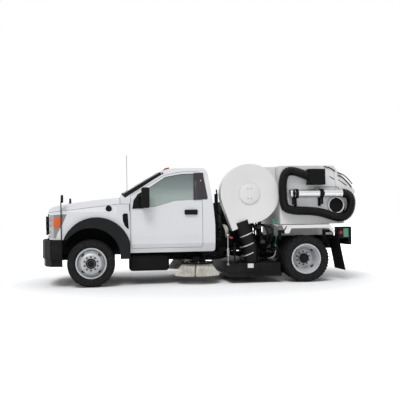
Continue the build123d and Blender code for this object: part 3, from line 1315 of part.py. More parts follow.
def fan_outline():
    """Return the scroll's face: the disc and the drawn-out outlet."""
    center = (behind(FAN_BACK), FAN_HEIGHT)
    radius = FAN_DIAMETER / 2
    tip = (behind(FAN_TIP_BACK), FAN_HEIGHT - FAN_TIP_DROP)
    heel = (behind(FAN_HEEL_BACK), FAN_HEIGHT - FAN_HEEL_DROP)
    run = math.dist(tip, center)
    toward = math.atan2(center[1] - tip[1], center[0] - tip[0])
    spread = math.asin(radius / run)
    reach = run * math.cos(spread)
    touch = (tip[0] + reach * math.cos(toward - spread), tip[1] + reach * math.sin(toward - spread))
    horn = closed_face([tip, touch, center, heel])
    return Pos(*center) * Circle(radius) + horn


def fan_housing():
    """Fan scroll with its dished outer face, the raised hub plate and the outlet sleeve."""
    low, high = FAN_Y
    plane = Plane(origin=(0, high, 0), x_dir=(1, 0, 0), z_dir=(0, -1, 0))
    shape = extrude(plane * fan_outline(), amount=high - low)
    radius = FAN_DIAMETER / 2 - FAN_RIM_DEPTH
    floor = high - FAN_DISH_DEPTH
    dish = [(0, floor), (FAN_HUB_RADIUS, floor), (radius, high), (0, high)]
    hub_top = high - FAN_DISH_DEPTH + FAN_HUB_DEPTH
    shape -= turned_about_y(dish, behind(FAN_BACK), 0, FAN_HEIGHT)
    shape += round_bar_y(behind(FAN_BACK), FAN_HEIGHT, FAN_HUB_RADIUS, (low + FAN_RIM_DEPTH, hub_top))
    duct_y = (INTAKE_INNER_Y, low)
    duct = round_bar_y(behind(FAN_BACK), FAN_HEIGHT, INTAKE_RADIUS, duct_y)
    mouth = round_bar_y(behind(FAN_BACK), sum(INTAKE_NECK_Z) / 2, INTAKE_RADIUS, duct_y)
    neck = box_between((behind(FAN_BACK), behind(INTAKE_NECK_BACK)), duct_y, INTAKE_NECK_Z)
    return shape + duct + mouth + neck


# Hoses between the pick-up head, the fan and the hopper
HOSE_RADIUS = 145.0
HOSE_WALL = 10.0
PRESSURE_Y = 850.0
# Pressure hose route as (distance behind the front axle, height)
PRESSURE_ROUTE = [(2599.0, 1064.0), (2700.0, 760.0), (2770.0, 590.0), (2770.0, 356.0)]
SUCTION_BACK = 3012.0
SUCTION_Y = -790.0
SUCTION_HEIGHT = 1200.0
SUCTION_BEND = 200.0


def hollow_pipe(points, radii):
    """Return a hose of the common size along a path."""
    return pipe_along(points, radii, HOSE_RADIUS) - pipe_along(points, radii, HOSE_RADIUS - HOSE_WALL)


def air_hoses():
    """Pressure hose from the fan on the left and suction hose to the hopper on the right."""
    points = [(behind(back), PRESSURE_Y, z) for back, z in PRESSURE_ROUTE]
    pressure = hollow_pipe(points, bend_radii(points)) - fan_housing()
    low = PRESSURE_ROUTE[-1][1]
    x = behind(SUCTION_BACK)
    end_x = behind(HOPPER_FRONT_BACK) + SEAT_GAP
    route = [(x, SUCTION_Y, low), (x, SUCTION_Y, SUCTION_HEIGHT), (end_x, SUCTION_Y, SUCTION_HEIGHT)]
    return solids_of(pressure.solids().sort_by(SortBy.VOLUME)[-1], hollow_pipe(route, [SUCTION_BEND]))


# Pick-up head, open below, hung on four lift rods
PICKUP_BACKS = (2355.0, 3240.0)
PICKUP_Z = (150.0, 345.0)
PICKUP_SKIRT_BOTTOM = 116.0
PICKUP_WALL = 24.0
SKIRT_THICKNESS = 14.0
COLLAR_CLEARANCE = 7.0
COLLAR_HEIGHT = 150.0
LIFT_ROD_BACKS = (2450.0, 3195.0)
HEAD_ROD_RADIUS = 13.0
HEAD_ROD_Y = 1030.0
HEAD_ROD_TOP = 700.0


def pickup_head():
    """Head as a hollow box open below, with its skirt, two hose collars and four rods."""
    front, rear = [behind(back) for back in PICKUP_BACKS]
    half = PICKUP_WIDTH / 2
    low, high = PICKUP_Z
    wall = PICKUP_WALL
    shape = box_between((front, rear), (-half, half), (low, high))
    shape -= box_between(
        (front - wall, rear + wall), (-half + wall, half - wall), (low - CUT_OVERRUN, high - wall)
    )
    skirt_z = (PICKUP_SKIRT_BOTTOM, low + wall)
    skirt = box_between((front + SKIRT_THICKNESS, rear - SKIRT_THICKNESS),
                        (-half - SKIRT_THICKNESS, half + SKIRT_THICKNESS), skirt_z)
    skirt -= box_between((front - wall, rear + wall), (-half + wall, half - wall), (0, high))
    shape += skirt
    collar_radius = HOSE_RADIUS - HOSE_WALL - COLLAR_CLEARANCE
    for back, y in ((PRESSURE_ROUTE[-1][0], PRESSURE_Y), (SUCTION_BACK, SUCTION_Y)):
        shape += round_bar_z(behind(back), y, collar_radius, (high - wall, high + COLLAR_HEIGHT))
        shape -= round_bar_z(behind(back), y, collar_radius - HOSE_WALL, (low, high + 2 * COLLAR_HEIGHT))
    for back in LIFT_ROD_BACKS:
        for side in SIDES.values():
            shape += round_bar_z(
                behind(back), side * HEAD_ROD_Y, HEAD_ROD_RADIUS, (high - wall, HEAD_ROD_TOP)
            )
    return shape


# Gutter brooms: arm swings on a post behind, carrier slides down it, broom spins below
BROOM_BACK = 1817.0
BROOM_Y = 800.0
BRISTLE_Z = (136.0, 345.0)
BRISTLE_TOP_RADIUS = 285.0
BRISTLE_INNER_SHARE = 0.6
BROOM_PLATE_THICKNESS = 26.0
BROOM_PLATE_RADIUS = 290.0
MOTOR_RADIUS = 62.0
MOTOR_HEIGHT = 90.0
CARRIER_TRAVEL = 130.0
SLIDE_RADIUS = 20.0
ARM_POST_BACK = 2275.0
ARM_POST_Y = 560.0
ARM_POST_RADIUS = 40.0
ARM_HEIGHT = 515.0
ARM_HALF_HEIGHT = 26.0
ARM_HALF_WIDTH = 32.0
ARM_END_OFFSET = 163.0
SLEEVE_RADIUS = 44.0
SLEEVE_HALF_HEIGHT = 34.0


def arm_direction():
    """Return the unit vector from the arm's post to the broom's centre, in plan."""
    run = (behind(BROOM_BACK) - behind(ARM_POST_BACK), BROOM_Y - ARM_POST_Y)
    length = math.hypot(*run)
    return (run[0] / length, run[1] / length), length


def broom_arm():
    """Left arm: eye round the frame's post, bar, and the sleeve that guides the carrier."""
    (dx, dy), _ = arm_direction()
    low, high = ARM_HEIGHT - ARM_HALF_HEIGHT, ARM_HEIGHT + ARM_HALF_HEIGHT
    post = (behind(ARM_POST_BACK), ARM_POST_Y)
    sleeve = slide_place()
    side_step = (-dy * ARM_HALF_WIDTH, dx * ARM_HALF_WIDTH)
    points = [
        (post[0] + side_step[0], post[1] + side_step[1]),
        (sleeve[0] + side_step[0], sleeve[1] + side_step[1]),
        (sleeve[0] - side_step[0], sleeve[1] - side_step[1]),
        (post[0] - side_step[0], post[1] - side_step[1]),
    ]
    shape = plan_profile(points, (low, high))
    shape += round_bar_z(*post, ARM_POST_RADIUS + ARM_HALF_WIDTH / 2, (low, high))
    shape += round_bar_z(
        *sleeve, SLEEVE_RADIUS, (ARM_HEIGHT - SLEEVE_HALF_HEIGHT, ARM_HEIGHT + SLEEVE_HALF_HEIGHT)
    )
    shape -= round_bar_z(*post, ARM_POST_RADIUS / 2 + SEAT_GAP, (0, FRAME_TOP))
    return shape - round_bar_z(*sleeve, SLIDE_RADIUS + SEAT_GAP, (0, FRAME_TOP))


def slide_place():
    """Return the plan place of the left carrier's slide rod."""
    (dx, dy), length = arm_direction()
    reach = length - ARM_END_OFFSET
    return behind(ARM_POST_BACK) + dx * reach, ARM_POST_Y + dy * reach


def broom_carrier():
    """Left carrier: motor over the broom, a foot and the slide rod through the arm's sleeve."""
    sleeve = slide_place()
    center = (behind(BROOM_BACK), BROOM_Y)
    bottom = BRISTLE_Z[1] + BROOM_PLATE_THICKNESS + SEAT_GAP
    (dx, dy), _ = arm_direction()
    shape = round_bar_z(*center, MOTOR_RADIUS, (bottom, bottom + MOTOR_HEIGHT))
    step = (-dy * SLIDE_RADIUS, dx * SLIDE_RADIUS)
    points = [
        (center[0] + step[0], center[1] + step[1]), (sleeve[0] + step[0], sleeve[1] + step[1]),
        (sleeve[0] - step[0], sleeve[1] - step[1]), (center[0] - step[0], center[1] - step[1]),
    ]
    shape += plan_profile(points, (bottom + SLIDE_RADIUS / 2, bottom + MOTOR_HEIGHT / 2))
    top = ARM_HEIGHT + SLEEVE_HALF_HEIGHT + CARRIER_TRAVEL + 2 * RUNNING_GAP
    return shape + round_bar_z(*sleeve, SLIDE_RADIUS, (bottom + SLIDE_RADIUS / 2, top))


def broom_plate():
    """Left broom's round plate."""
    high = BRISTLE_Z[1] + BROOM_PLATE_THICKNESS
    return round_bar_z(behind(BROOM_BACK), BROOM_Y, BROOM_PLATE_RADIUS, (BRISTLE_Z[1], high))


def broom_bristles():
    """Left broom's ring of bristles, splayed outward to the ground end."""
    low, high = BRISTLE_Z
    outer = BROOM_DIAMETER / 2
    inner = BRISTLE_INNER_SHARE
    points = [
        (BRISTLE_TOP_RADIUS * inner, high), (BRISTLE_TOP_RADIUS, high), (outer, low), (outer * inner, low)
    ]
    face = Plane.XZ * make_face(Polyline(*points, close=True))
    return Pos(behind(BROOM_BACK), BROOM_Y, 0) * revolve(face, axis=Axis.Z)


# Power unit
POWER_BACKS = (2300.0, 2860.0)
POWER_HALF_WIDTH = 560.0
POWER_TOP = 1420.0
FAN_SHAFT_RADIUS = 60.0


def power_unit():
    """Power unit for the fan as a plain block on the subframe, with the shaft to the fan."""
    low = FRAME_TOP + SUBFRAME_HEIGHT + 2 * SEAT_GAP
    block = box_between(
        [behind(back) for back in POWER_BACKS], (-POWER_HALF_WIDTH, POWER_HALF_WIDTH), (low, POWER_TOP)
    )
    x = behind(FAN_BACK)
    tower_y = (POWER_HALF_WIDTH - 2 * FAN_SHAFT_RADIUS, POWER_HALF_WIDTH)
    tower = box_between(
        (x - 2 * FAN_SHAFT_RADIUS, x + 2 * FAN_SHAFT_RADIUS), tower_y,
        (low, FAN_HEIGHT + 2 * FAN_SHAFT_RADIUS)
    )
    shaft = round_bar_y(
        x, FAN_HEIGHT, FAN_SHAFT_RADIUS, (POWER_HALF_WIDTH - FAN_SHAFT_RADIUS, INTAKE_INNER_Y - SEAT_GAP)
    )
    return block + tower + shaft


# Subframe with cross beams, braces behind the cab, outriggers and the hopper's pivots
BEAM_HALF_LENGTH = 24.0
BEAM_HALF_SPAN = 900.0
BEAM_SHORT_SPAN = 600.0
FAN_BEAM_BACK = 2960.0
CAB_BEAM_BACK = 2205.0
FENDER_BEAM_BACKS = [3290.0, 4100.0]
# Cross beams as (distance behind the front axle, start from the middle, reach to the left, to the right)
BEAMS = [
    (CAB_BEAM_BACK, 0.0, BEAM_HALF_SPAN, BEAM_HALF_SPAN),
    (FAN_BEAM_BACK, 0.0, BEAM_HALF_SPAN, BEAM_SHORT_SPAN),
    (FENDER_BEAM_BACKS[0], 0.0, BEAM_HALF_SPAN, BEAM_HALF_SPAN),
    (FENDER_BEAM_BACKS[1], SUBFRAME_Y[0], BEAM_HALF_SPAN, BEAM_HALF_SPAN),
]
POST_Y = 620.0
POST_HALF = 28.0
POST_TOP = 1560.0
FAN_STAND_Y = (705.0, 790.0)
OUTRIGGER_Z = (560.0, 620.0)
OUTRIGGER_HALF = 26.0
FENDER_ARM_Z = (850.0, 900.0)
FENDER_ARM_REACH = 1140.0
PIVOT_PLATE_HALF = 55.0


def body_frame():
    """Subframe on the rails and everything black that carries the sweeper's gear."""
    low = FRAME_TOP + SEAT_GAP
    high = low + SUBFRAME_HEIGHT
    shape = None
    for side in SIDES.values():
        tube = box_between(
            [behind(back) for back in SUBFRAME_BACKS], [side * y for y in SUBFRAME_Y], (low, high)
        )
        shape = tube if shape is None else shape + tube
    for back, start, left, right in BEAMS:
        beam_x = (behind(back) - BEAM_HALF_LENGTH, behind(back) + BEAM_HALF_LENGTH)
        shape += box_between(beam_x, (start, left), (low, high))
        shape += box_between(beam_x, (-start, -right), (low, high))
    for side in SIDES.values():
        shape += frame_post(side, low)
        shape += outriggers(side)
        shape += fender_arms(side, high)
        shape += pivot_bracket(side, low)
        shape += arm_post(side)
    x = behind(FAN_BEAM_BACK)
    stand = box_between((x - BEAM_HALF_LENGTH, x + BEAM_HALF_LENGTH), FAN_STAND_Y, (low, FAN_HEIGHT))
    clear = round_bar_y(behind(FAN_BACK), FAN_HEIGHT, FAN_DIAMETER / 2 + SEAT_GAP, (0, CAB_WIDTH))
    return shape + (stand - clear)


def frame_post(side, low):
    """Upright behind the cab."""
    x = behind(CAB_BEAM_BACK)
    post_y = (side * (POST_Y - POST_HALF), side * (POST_Y + POST_HALF))
    return box_between((x - POST_HALF, x + POST_HALF), post_y, (low, POST_TOP))


def outriggers(side):
    """Arms out from the rails that guide the pick-up head's lift rods."""
    web = FRAME_WIDTH / 2
    shape = None
    for back in LIFT_ROD_BACKS:
        arm_x = (behind(back) - OUTRIGGER_HALF, behind(back) + OUTRIGGER_HALF)
        arm = box_between(arm_x, (side * (web + SEAT_GAP), side * (HEAD_ROD_Y + OUTRIGGER_HALF)), OUTRIGGER_Z)
        riser = box_between(
            arm_x, (side * (web + SEAT_GAP), side * (web + 2 * OUTRIGGER_HALF)),
            (OUTRIGGER_Z[0], FRAME_TOP + SUBFRAME_HEIGHT)
        )
        hanger = box_between(
            arm_x, [side * y for y in (SUBFRAME_Y[0], web + 2 * OUTRIGGER_HALF)],
            (FRAME_TOP + SEAT_GAP, FRAME_TOP + SUBFRAME_HEIGHT)
        )
        arm = arm + riser + hanger - round_bar_z(
            behind(back), side * HEAD_ROD_Y, HEAD_ROD_RADIUS + SEAT_GAP, (0, FRAME_TOP)
        )
        shape = arm if shape is None else shape + arm
    return shape


def fender_arms(side, high):
    """Brackets from the subframe's beams up to the rear fenders."""
    shape = None
    for back in FENDER_BEAM_BACKS:
        x_pair = (behind(back) - BEAM_HALF_LENGTH, behind(back) + BEAM_HALF_LENGTH)
        riser_y = (side * (BEAM_HALF_SPAN - 2 * BEAM_HALF_LENGTH), side * BEAM_HALF_SPAN)
        bracket = box_between(x_pair, riser_y, (high - SUBFRAME_HEIGHT, FENDER_ARM_Z[1]))
        bracket += box_between(x_pair, (riser_y[0], side * FENDER_ARM_REACH), FENDER_ARM_Z)
        shape = bracket if shape is None else shape + bracket
    return shape


def pivot_bracket(side, low):
    """Plate and pin that the hopper's sill turns on."""
    x = behind(HOPPER_PIVOT_BACK)
    plate_y = (side * (SUBFRAME_Y[1] - PANEL_GAP), side * (SILL_Y[0] - PANEL_GAP))
    plate = box_between(
        (x - PIVOT_PLATE_HALF, x + PIVOT_PLATE_HALF), plate_y, (low, HOPPER_PIVOT_HEIGHT + PIVOT_PLATE_HALF)
    )
    pin_y = (side * (SUBFRAME_Y[1] - PANEL_GAP), side * (SILL_Y[1] + PANEL_GAP))
    return plate + round_bar_y(x, HOPPER_PIVOT_HEIGHT, PIVOT_PIN_RADIUS, pin_y)


def arm_post(side):
    """Bracket from the rail with the post that the broom arm swings on."""
    x = behind(ARM_POST_BACK)
    web = FRAME_WIDTH / 2
    y = side * ARM_POST_Y
    low = ARM_HEIGHT - ARM_HALF_HEIGHT
    plate_x = (x - ARM_POST_RADIUS, x + ARM_POST_RADIUS)
    top = ARM_HEIGHT + ARM_HALF_HEIGHT + PANEL_GAP
    shelf = box_between(
        plate_x, (side * (web + SEAT_GAP), y + side * ARM_POST_RADIUS), (top, top + ARM_HALF_HEIGHT)
    )
    riser = box_between(
        plate_x, [side * v for v in (web + SEAT_GAP, web + ARM_HALF_HEIGHT)],
        (top, FRAME_TOP + SUBFRAME_HEIGHT)
    )
    cap = box_between(
        plate_x, [side * v for v in (SUBFRAME_Y[0], web + ARM_HALF_HEIGHT)],
        (FRAME_TOP + SEAT_GAP, FRAME_TOP + SUBFRAME_HEIGHT)
    )
    pin = round_bar_z(x, y, ARM_POST_RADIUS / 2, (low - ARM_HALF_HEIGHT, top))
    foot = round_bar_z(x, y, ARM_POST_RADIUS, (low - ARM_HALF_HEIGHT, low - SEAT_GAP))
    return shelf + riser + cap + pin + foot


# Hand hose on the hopper's left side: route in shares of the hopper's side box
HAND_HOSE_RADIUS = 77.0
HAND_HOSE_Y = 1035.0
HAND_HOSE_SHARES = [
    (0.361, 0.812), (0.139, 0.945), (0.020, 0.824), (0.020, 0.368), (0.080, 0.229), (0.489, 0.221),
    (0.759, 0.082), (0.897, 0.155), (0.941, 0.388), (0.883, 0.519), (0.804, 0.519),
]
HAND_TUBE_RADIUS = 70.0
HAND_TUBE_WALL = 4.0
HAND_TUBE_SHARES = (0.115, 0.803)
INLET_BOX_SHARES = ((0.352, 0.565), (0.665, 0.933))
INLET_BOX_Y = (950.0, 1130.0)
PORT_SHARES = (0.757, 0.300)
PORT_RADIUS = 140.0
PORT_THICKNESS = 30.0
CRADLE_SHARES = (0.20, 0.52)
CRADLE_HALF_WIDTH = 26.0
CRADLE_PLATE = 12.0
CRADLE_DROP = 150.0


def hand_hose():
    """Large hand hose looped on the hopper's side, as its plain outer form."""
    points = [(x, HAND_HOSE_Y, z) for x, z in hopper_points(HAND_HOSE_SHARES)]
    box_x = hopper_points([(INLET_BOX_SHARES[0][0], 0)])[0][0] + SEAT_GAP
    box_z = hopper_points([(0, share) for share in INLET_BOX_SHARES[1]])
    clear = box_between(
        (box_x - HOPPER_LENGTH, box_x), INLET_BOX_Y, (box_z[0][1] - SEAT_GAP, box_z[1][1] + SEAT_GAP)
    )
    hose = pipe_along(points, bend_radii(points), HAND_HOSE_RADIUS) - clear
    return hose.solids().sort_by(SortBy.VOLUME)[-1]


def hand_tube():
    """Aluminium wand tube that the hose runs into."""
    height = hopper_points([HAND_HOSE_SHARES[-1]])[0][1]
    x_pair = [hopper_points([(share, 0)])[0][0] for share in HAND_TUBE_SHARES]
    tube = round_bar_x(HAND_HOSE_Y, height, HAND_TUBE_RADIUS, x_pair)
    bore_x = (x_pair[0] + CUT_OVERRUN, x_pair[1] - CUT_OVERRUN)
    return tube - round_bar_x(HAND_HOSE_Y, height, HAND_TUBE_RADIUS - HAND_TUBE_WALL, bore_x)


def hopper_fittings():
    """Inlet box, round port and two cradles on the hopper's left side, apart from each other."""
    wall = HOPPER_WIDTH / 2 + SEAT_GAP
    box_x = [hopper_points([(share, 0)])[0][0] for share in INLET_BOX_SHARES[0]]
    box_z = [hopper_points([(0, share)])[0][1] for share in INLET_BOX_SHARES[1]]
    pieces = [box_between(box_x, (wall, INLET_BOX_Y[1]), box_z)]
    port_x, port_z = hopper_points([PORT_SHARES])[0]
    pieces.append(round_bar_y(port_x, port_z, PORT_RADIUS, (wall, wall + PORT_THICKNESS)))
    tube_z = hopper_points([HAND_HOSE_SHARES[-1]])[0][1]
    for share in CRADLE_SHARES:
        x = hopper_points([(share, 0)])[0][0]
        x_pair = (x - CRADLE_HALF_WIDTH, x + CRADLE_HALF_WIDTH)
        back = box_between(
            x_pair, (wall, wall + CRADLE_PLATE), (tube_z - HAND_TUBE_RADIUS - CRADLE_DROP, tube_z)
        )
        ring = round_bar_x(HAND_HOSE_Y, tube_z, HAND_TUBE_RADIUS + CRADLE_PLATE, x_pair)
        bridge = box_between(x_pair, (wall, HAND_HOSE_Y), (tube_z - CRADLE_PLATE, tube_z + CRADLE_PLATE))
        bore = round_bar_x(
            HAND_HOSE_Y, tube_z, HAND_TUBE_RADIUS + SEAT_GAP,
            (x_pair[0] - CUT_OVERRUN, x_pair[1] + CUT_OVERRUN)
        )
        pieces.append(back + ring + bridge - bore)
    return solids_of(*pieces)


# Rear fenders, mud flaps and the rear bumper with its lamp boxes
FENDER_START_BACK = 3258.0
FENDER_LENGTH = 945.0
FENDER_TOP = 988.0
FENDER_DROP = 140.0
FENDER_SHEET = 8.0
FENDER_Y = (700.0, 1186.0)
FENDER_VALANCE_SHARES = [
    (0.0, 0.0), (0.914, 0.0), (1.0, 1.0), (0.955, 1.0), (0.873, 0.40), (0.175, 0.40),
    (0.13, 1.0), (0.055, 1.0),
]
FLAP_TOP_BACK = 4264.0
FLAP_LEAN = 105.0
FLAP_BOTTOM = 190.0
FLAP_THICKNESS = 12.0
FLAP_Y = (640.0, 1176.0)
REAR_BAR_LENGTH = 54.0
REAR_BAR_Z = (630.0, 765.0)
# Four holes for a pintle hook
HITCH_HOLE_SPACING = (85.7, 44.5)
HITCH_HOLE_RADIUS = 6.75
LAMP_BOX_BACKS = (4262.0, 4495.0)
LAMP_BOX_Z = (745.0, 945.0)
LAMP_BOX_Y = (975.0, 1185.0)
TAIL_LAMP_RADIUS = 48.0
TAIL_LAMP_DEPTH = 18.0


def rear_fender():
    """Left rear fender: top sheet with a folded outer valance."""
    start = (behind(FENDER_START_BACK), FENDER_TOP)
    size = (-FENDER_LENGTH, -FENDER_DROP)
    valance = side_profile(
        place_shares(FENDER_VALANCE_SHARES, start, size), (FENDER_Y[1] - FENDER_SHEET, FENDER_Y[1])
    )
    top_x = [
        start[0] + share * size[0] for share in (FENDER_VALANCE_SHARES[0][0], FENDER_VALANCE_SHARES[1][0])
    ]
    top = box_between(top_x, FENDER_Y, (FENDER_TOP - FENDER_SHEET, FENDER_TOP))
    legs = None
    for back in FENDER_BEAM_BACKS:
        leg_x = (behind(back) - BEAM_HALF_LENGTH, behind(back) + BEAM_HALF_LENGTH)
        leg_y = (BEAM_HALF_SPAN, BEAM_HALF_SPAN + BEAM_HALF_LENGTH)
        leg = box_between(leg_x, leg_y, (FENDER_ARM_Z[1] + SEAT_GAP, FENDER_TOP - FENDER_SHEET / 2))
        legs = leg if legs is None else legs + leg
    return valance + top + legs


def mud_flap():
    """Left mud flap behind the twin wheels, leaning back."""
    x = behind(FLAP_TOP_BACK)
    low, high = FLAP_BOTTOM, LAMP_BOX_Z[0] - SEAT_GAP
    points = [
        (x, high), (x - FLAP_THICKNESS, high), (x - FLAP_THICKNESS - FLAP_LEAN, low), (x - FLAP_LEAN, low)
    ]
    return side_profile(points, FLAP_Y)


def rear_bumper():
    """Bar across the frame's end with a lamp box at each side."""
    bar_front = behind(RAIL_REAR_BACK + SEAT_GAP)
    bar_x = (bar_front, bar_front - REAR_BAR_LENGTH)
    shape = box_between(bar_x, (-LAMP_BOX_Y[1], LAMP_BOX_Y[1]), REAR_BAR_Z)
    hole_x = (bar_front - 2 * REAR_BAR_LENGTH, bar_front + CUT_OVERRUN)
    shape -= hole_rectangle(hole_x, sum(REAR_BAR_Z) / 2, HITCH_HOLE_SPACING, HITCH_HOLE_RADIUS)
    for side in SIDES.values():
        shape += box_between(
            [behind(back) for back in LAMP_BOX_BACKS], [side * y for y in LAMP_BOX_Y], LAMP_BOX_Z
        )
    return shape


def tail_lamps():
    """Round lamps on the rear faces of the two boxes."""
    x = behind(LAMP_BOX_BACKS[1])
    z = sum(LAMP_BOX_Z) / 2
    lamps = []
    for side in SIDES.values():
        y = side * sum(LAMP_BOX_Y) / 2
        lamps.append(round_bar_x(y, z, TAIL_LAMP_RADIUS, (x - SEAT_GAP - TAIL_LAMP_DEPTH, x - SEAT_GAP)))
    return lamps


def both_sides(shape):
    """Return a left-hand shape and its mirror image as separate solids."""
    return solids_of(shape, mirrored(shape))


def build():
    """Return every sub-part by its node name."""
    nodes = {}
    add_wheels(nodes)
    clip = open_clip()
    blank = cab_shell_blank()
    skin = glass_skin()
    left_fender = fender(clip)
    reach = (CAB_WIDTH / 4, CAB_WIDTH)
    left_glass = skin & cab_cut(DOOR_GLASS_SHARES, 0, reach)
    paired = {
        "knuckle": knuckle(), "door": door(), "door_glass": left_glass, "door_trim": door_trim(),
        "broom_arm": broom_arm(), "broom_carrier": broom_carrier(), "broom_plate": broom_plate(),
        "broom_bristles": broom_bristles(),
    }
    for stem, shape in paired.items():
        for name, side in SIDES.items():
            nodes[stem + "_" + name] = on_side(shape, side)
    rail = frame_rail()
    nodes["frame_rail_left"] = rail
    nodes["frame_rail_right"] = mirrored(rail)
    nodes["frame_members"] = frame_members()
    nodes["front_axle"] = front_axle()
    nodes["rear_axle"] = rear_axle()
    nodes["tie_rod"] = tie_rod()
    nodes["engine_block"] = engine_block()
    nodes["driveline"] = driveline()
    nodes["fuel_tank"] = fuel_tank()
    nodes["front_bumper"] = front_bumper()
    nodes["cab_shell"] = cab_shell(blank)
    nodes["cab_glass"] = cab_glass(skin)
    nodes["dashboard"] = dashboard()
    nodes["bench_seat"] = bench_seat()
    nodes["hood"] = hood(clip)
    nodes["front_fenders"] = both_sides(left_fender)
    nodes["wheel_flares"] = both_sides(wheel_flare())
    nodes["grille"] = grille()
    nodes["headlamps"] = both_sides(headlamp())
    nodes["marker_lamps"] = solids_of(*roof_lamps(), *tail_lamps())
    nodes["cab_trim"] = cab_trim()
    nodes["body_frame"] = body_frame()
    nodes["power_unit"] = power_unit()
    nodes["fan_housing"] = fan_housing()
    nodes["air_hoses"] = air_hoses()
    nodes["pickup_head"] = pickup_head()
    nodes["hopper"] = hopper()
    nodes["hopper_door"] = hopper_door()
    nodes["lift_barrels"] = lift_barrels()
    nodes["lift_rods"] = lift_rods()
    nodes["hand_hose"] = hand_hose()
    nodes["hand_tube"] = hand_tube()
    nodes["hopper_fittings"] = hopper_fittings()
    nodes["rear_fenders"] = both_sides(rear_fender())
    nodes["mud_flaps"] = both_sides(mud_flap())
    nodes["rear_bumper"] = rear_bumper()
    return nodes


os.makedirs("parts", exist_ok=True)
for node_name, node_shape in build().items():
    export_step(node_shape, "parts/" + node_name + ".step")
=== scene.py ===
"""Looks of a street sweeper truck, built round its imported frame."""

from __future__ import annotations

import json
import logging
import math
from dataclasses import dataclass, field
from enum import Enum
from typing import Sequence

import bmesh
import bpy
from mathutils import Matrix, Vector
from mathutils.bvhtree import BVHTree
from mathutils.geometry import delaunay_2d_cdt

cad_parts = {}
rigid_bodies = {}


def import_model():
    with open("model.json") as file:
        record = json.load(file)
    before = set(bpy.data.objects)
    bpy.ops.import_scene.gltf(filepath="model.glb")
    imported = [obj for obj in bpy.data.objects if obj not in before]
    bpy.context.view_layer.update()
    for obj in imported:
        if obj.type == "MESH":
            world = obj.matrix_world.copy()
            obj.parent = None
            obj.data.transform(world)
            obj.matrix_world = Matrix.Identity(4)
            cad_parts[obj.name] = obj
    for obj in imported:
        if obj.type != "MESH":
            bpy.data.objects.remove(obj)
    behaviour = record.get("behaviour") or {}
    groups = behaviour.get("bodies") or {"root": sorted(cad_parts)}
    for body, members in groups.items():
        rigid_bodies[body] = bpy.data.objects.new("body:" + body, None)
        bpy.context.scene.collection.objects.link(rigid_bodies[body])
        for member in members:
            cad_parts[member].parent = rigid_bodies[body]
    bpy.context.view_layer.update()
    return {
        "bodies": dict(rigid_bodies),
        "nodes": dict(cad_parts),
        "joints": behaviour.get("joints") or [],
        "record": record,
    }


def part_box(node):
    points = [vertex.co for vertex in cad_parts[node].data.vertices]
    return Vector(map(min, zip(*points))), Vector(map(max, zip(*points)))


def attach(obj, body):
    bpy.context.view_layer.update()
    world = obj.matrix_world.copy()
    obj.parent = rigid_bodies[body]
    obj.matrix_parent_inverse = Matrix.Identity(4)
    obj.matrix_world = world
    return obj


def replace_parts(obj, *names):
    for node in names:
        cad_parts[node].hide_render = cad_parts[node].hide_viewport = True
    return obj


LOG = logging.getLogger("sweeper")
Point = tuple[float, float, float]
SIDES = {"left": 1, "right": -1}
FRONT_AXLE_X, REAR_AXLE_X, AXLE_Z = 1.8985, -1.7845, 0.403
PLASTIC_BLACK = (0.006, 0.006, 0.0065)
RUBBER_BLACK = (0.004, 0.004, 0.0045)
ROAD_DUST = (0.03, 0.028, 0.025)
FRAME: dict = {}


class Slot(Enum):
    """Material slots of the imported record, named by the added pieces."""

    WHITE = "white_paint"
    BLACK = "black_paint"
    STEEL = "bare_steel"
    TYRE = "tyre"
    PLASTIC = "black_plastic"
    RUBBER = "rubber"
    BRISTLE = "bristle"
    GLASS = "glass"
    AMBER = "lamp_amber"
    TUBE = "tube_aluminium"


class Number:
    """A number socket that turns an expression into Math nodes."""

    def __init__(self, graph: "Graph", socket: bpy.types.NodeSocket) -> None:
        """Wrap a socket.

        Args:
            graph: The graph that the socket is in.
            socket: An output socket with a number.
        """
        self.graph = graph
        self.socket = socket

    def _math(self, operation: str, left: object, right: object = 0.0) -> "Number":
        """Add one Math node and return its output."""
        made = self.graph.node("ShaderNodeMath", {"operation": operation}, {0: left, 1: right})
        return Number(self.graph, made.outputs[0])

    def __add__(self, other: object) -> "Number":
        """Return self + other."""
        return self._math("ADD", self, other)

    def __sub__(self, other: object) -> "Number":
        """Return self - other."""
        return self._math("SUBTRACT", self, other)

    def __rsub__(self, other: object) -> "Number":
        """Return other - self."""
        return self._math("SUBTRACT", other, self)

    def __mul__(self, other: object) -> "Number":
        """Return self * other."""
        return self._math("MULTIPLY", self, other)

    def __truediv__(self, other: object) -> "Number":
        """Return self / other."""
        return self._math("DIVIDE", self, other)

    def __pow__(self, other: object) -> "Number":
        """Return self to the power of other."""
        return self._math("POWER", self, other)

    __radd__ = __add__
    __rmul__ = __mul__

    def wave(self) -> "Number":
        """Return the sine of this number."""
        return self._math("SINE", self)

    def ramp(self, low: float, high: float) -> "Number":
        """Return 0 below low, 1 above high and a smooth rise between them."""
        made = self.graph.node(
            "ShaderNodeMapRange",
            {"interpolation_type": "SMOOTHSTEP"},
            {"Value": self, "From Min": low, "From Max": high},
        )
        return Number(self.graph, made.outputs[0])


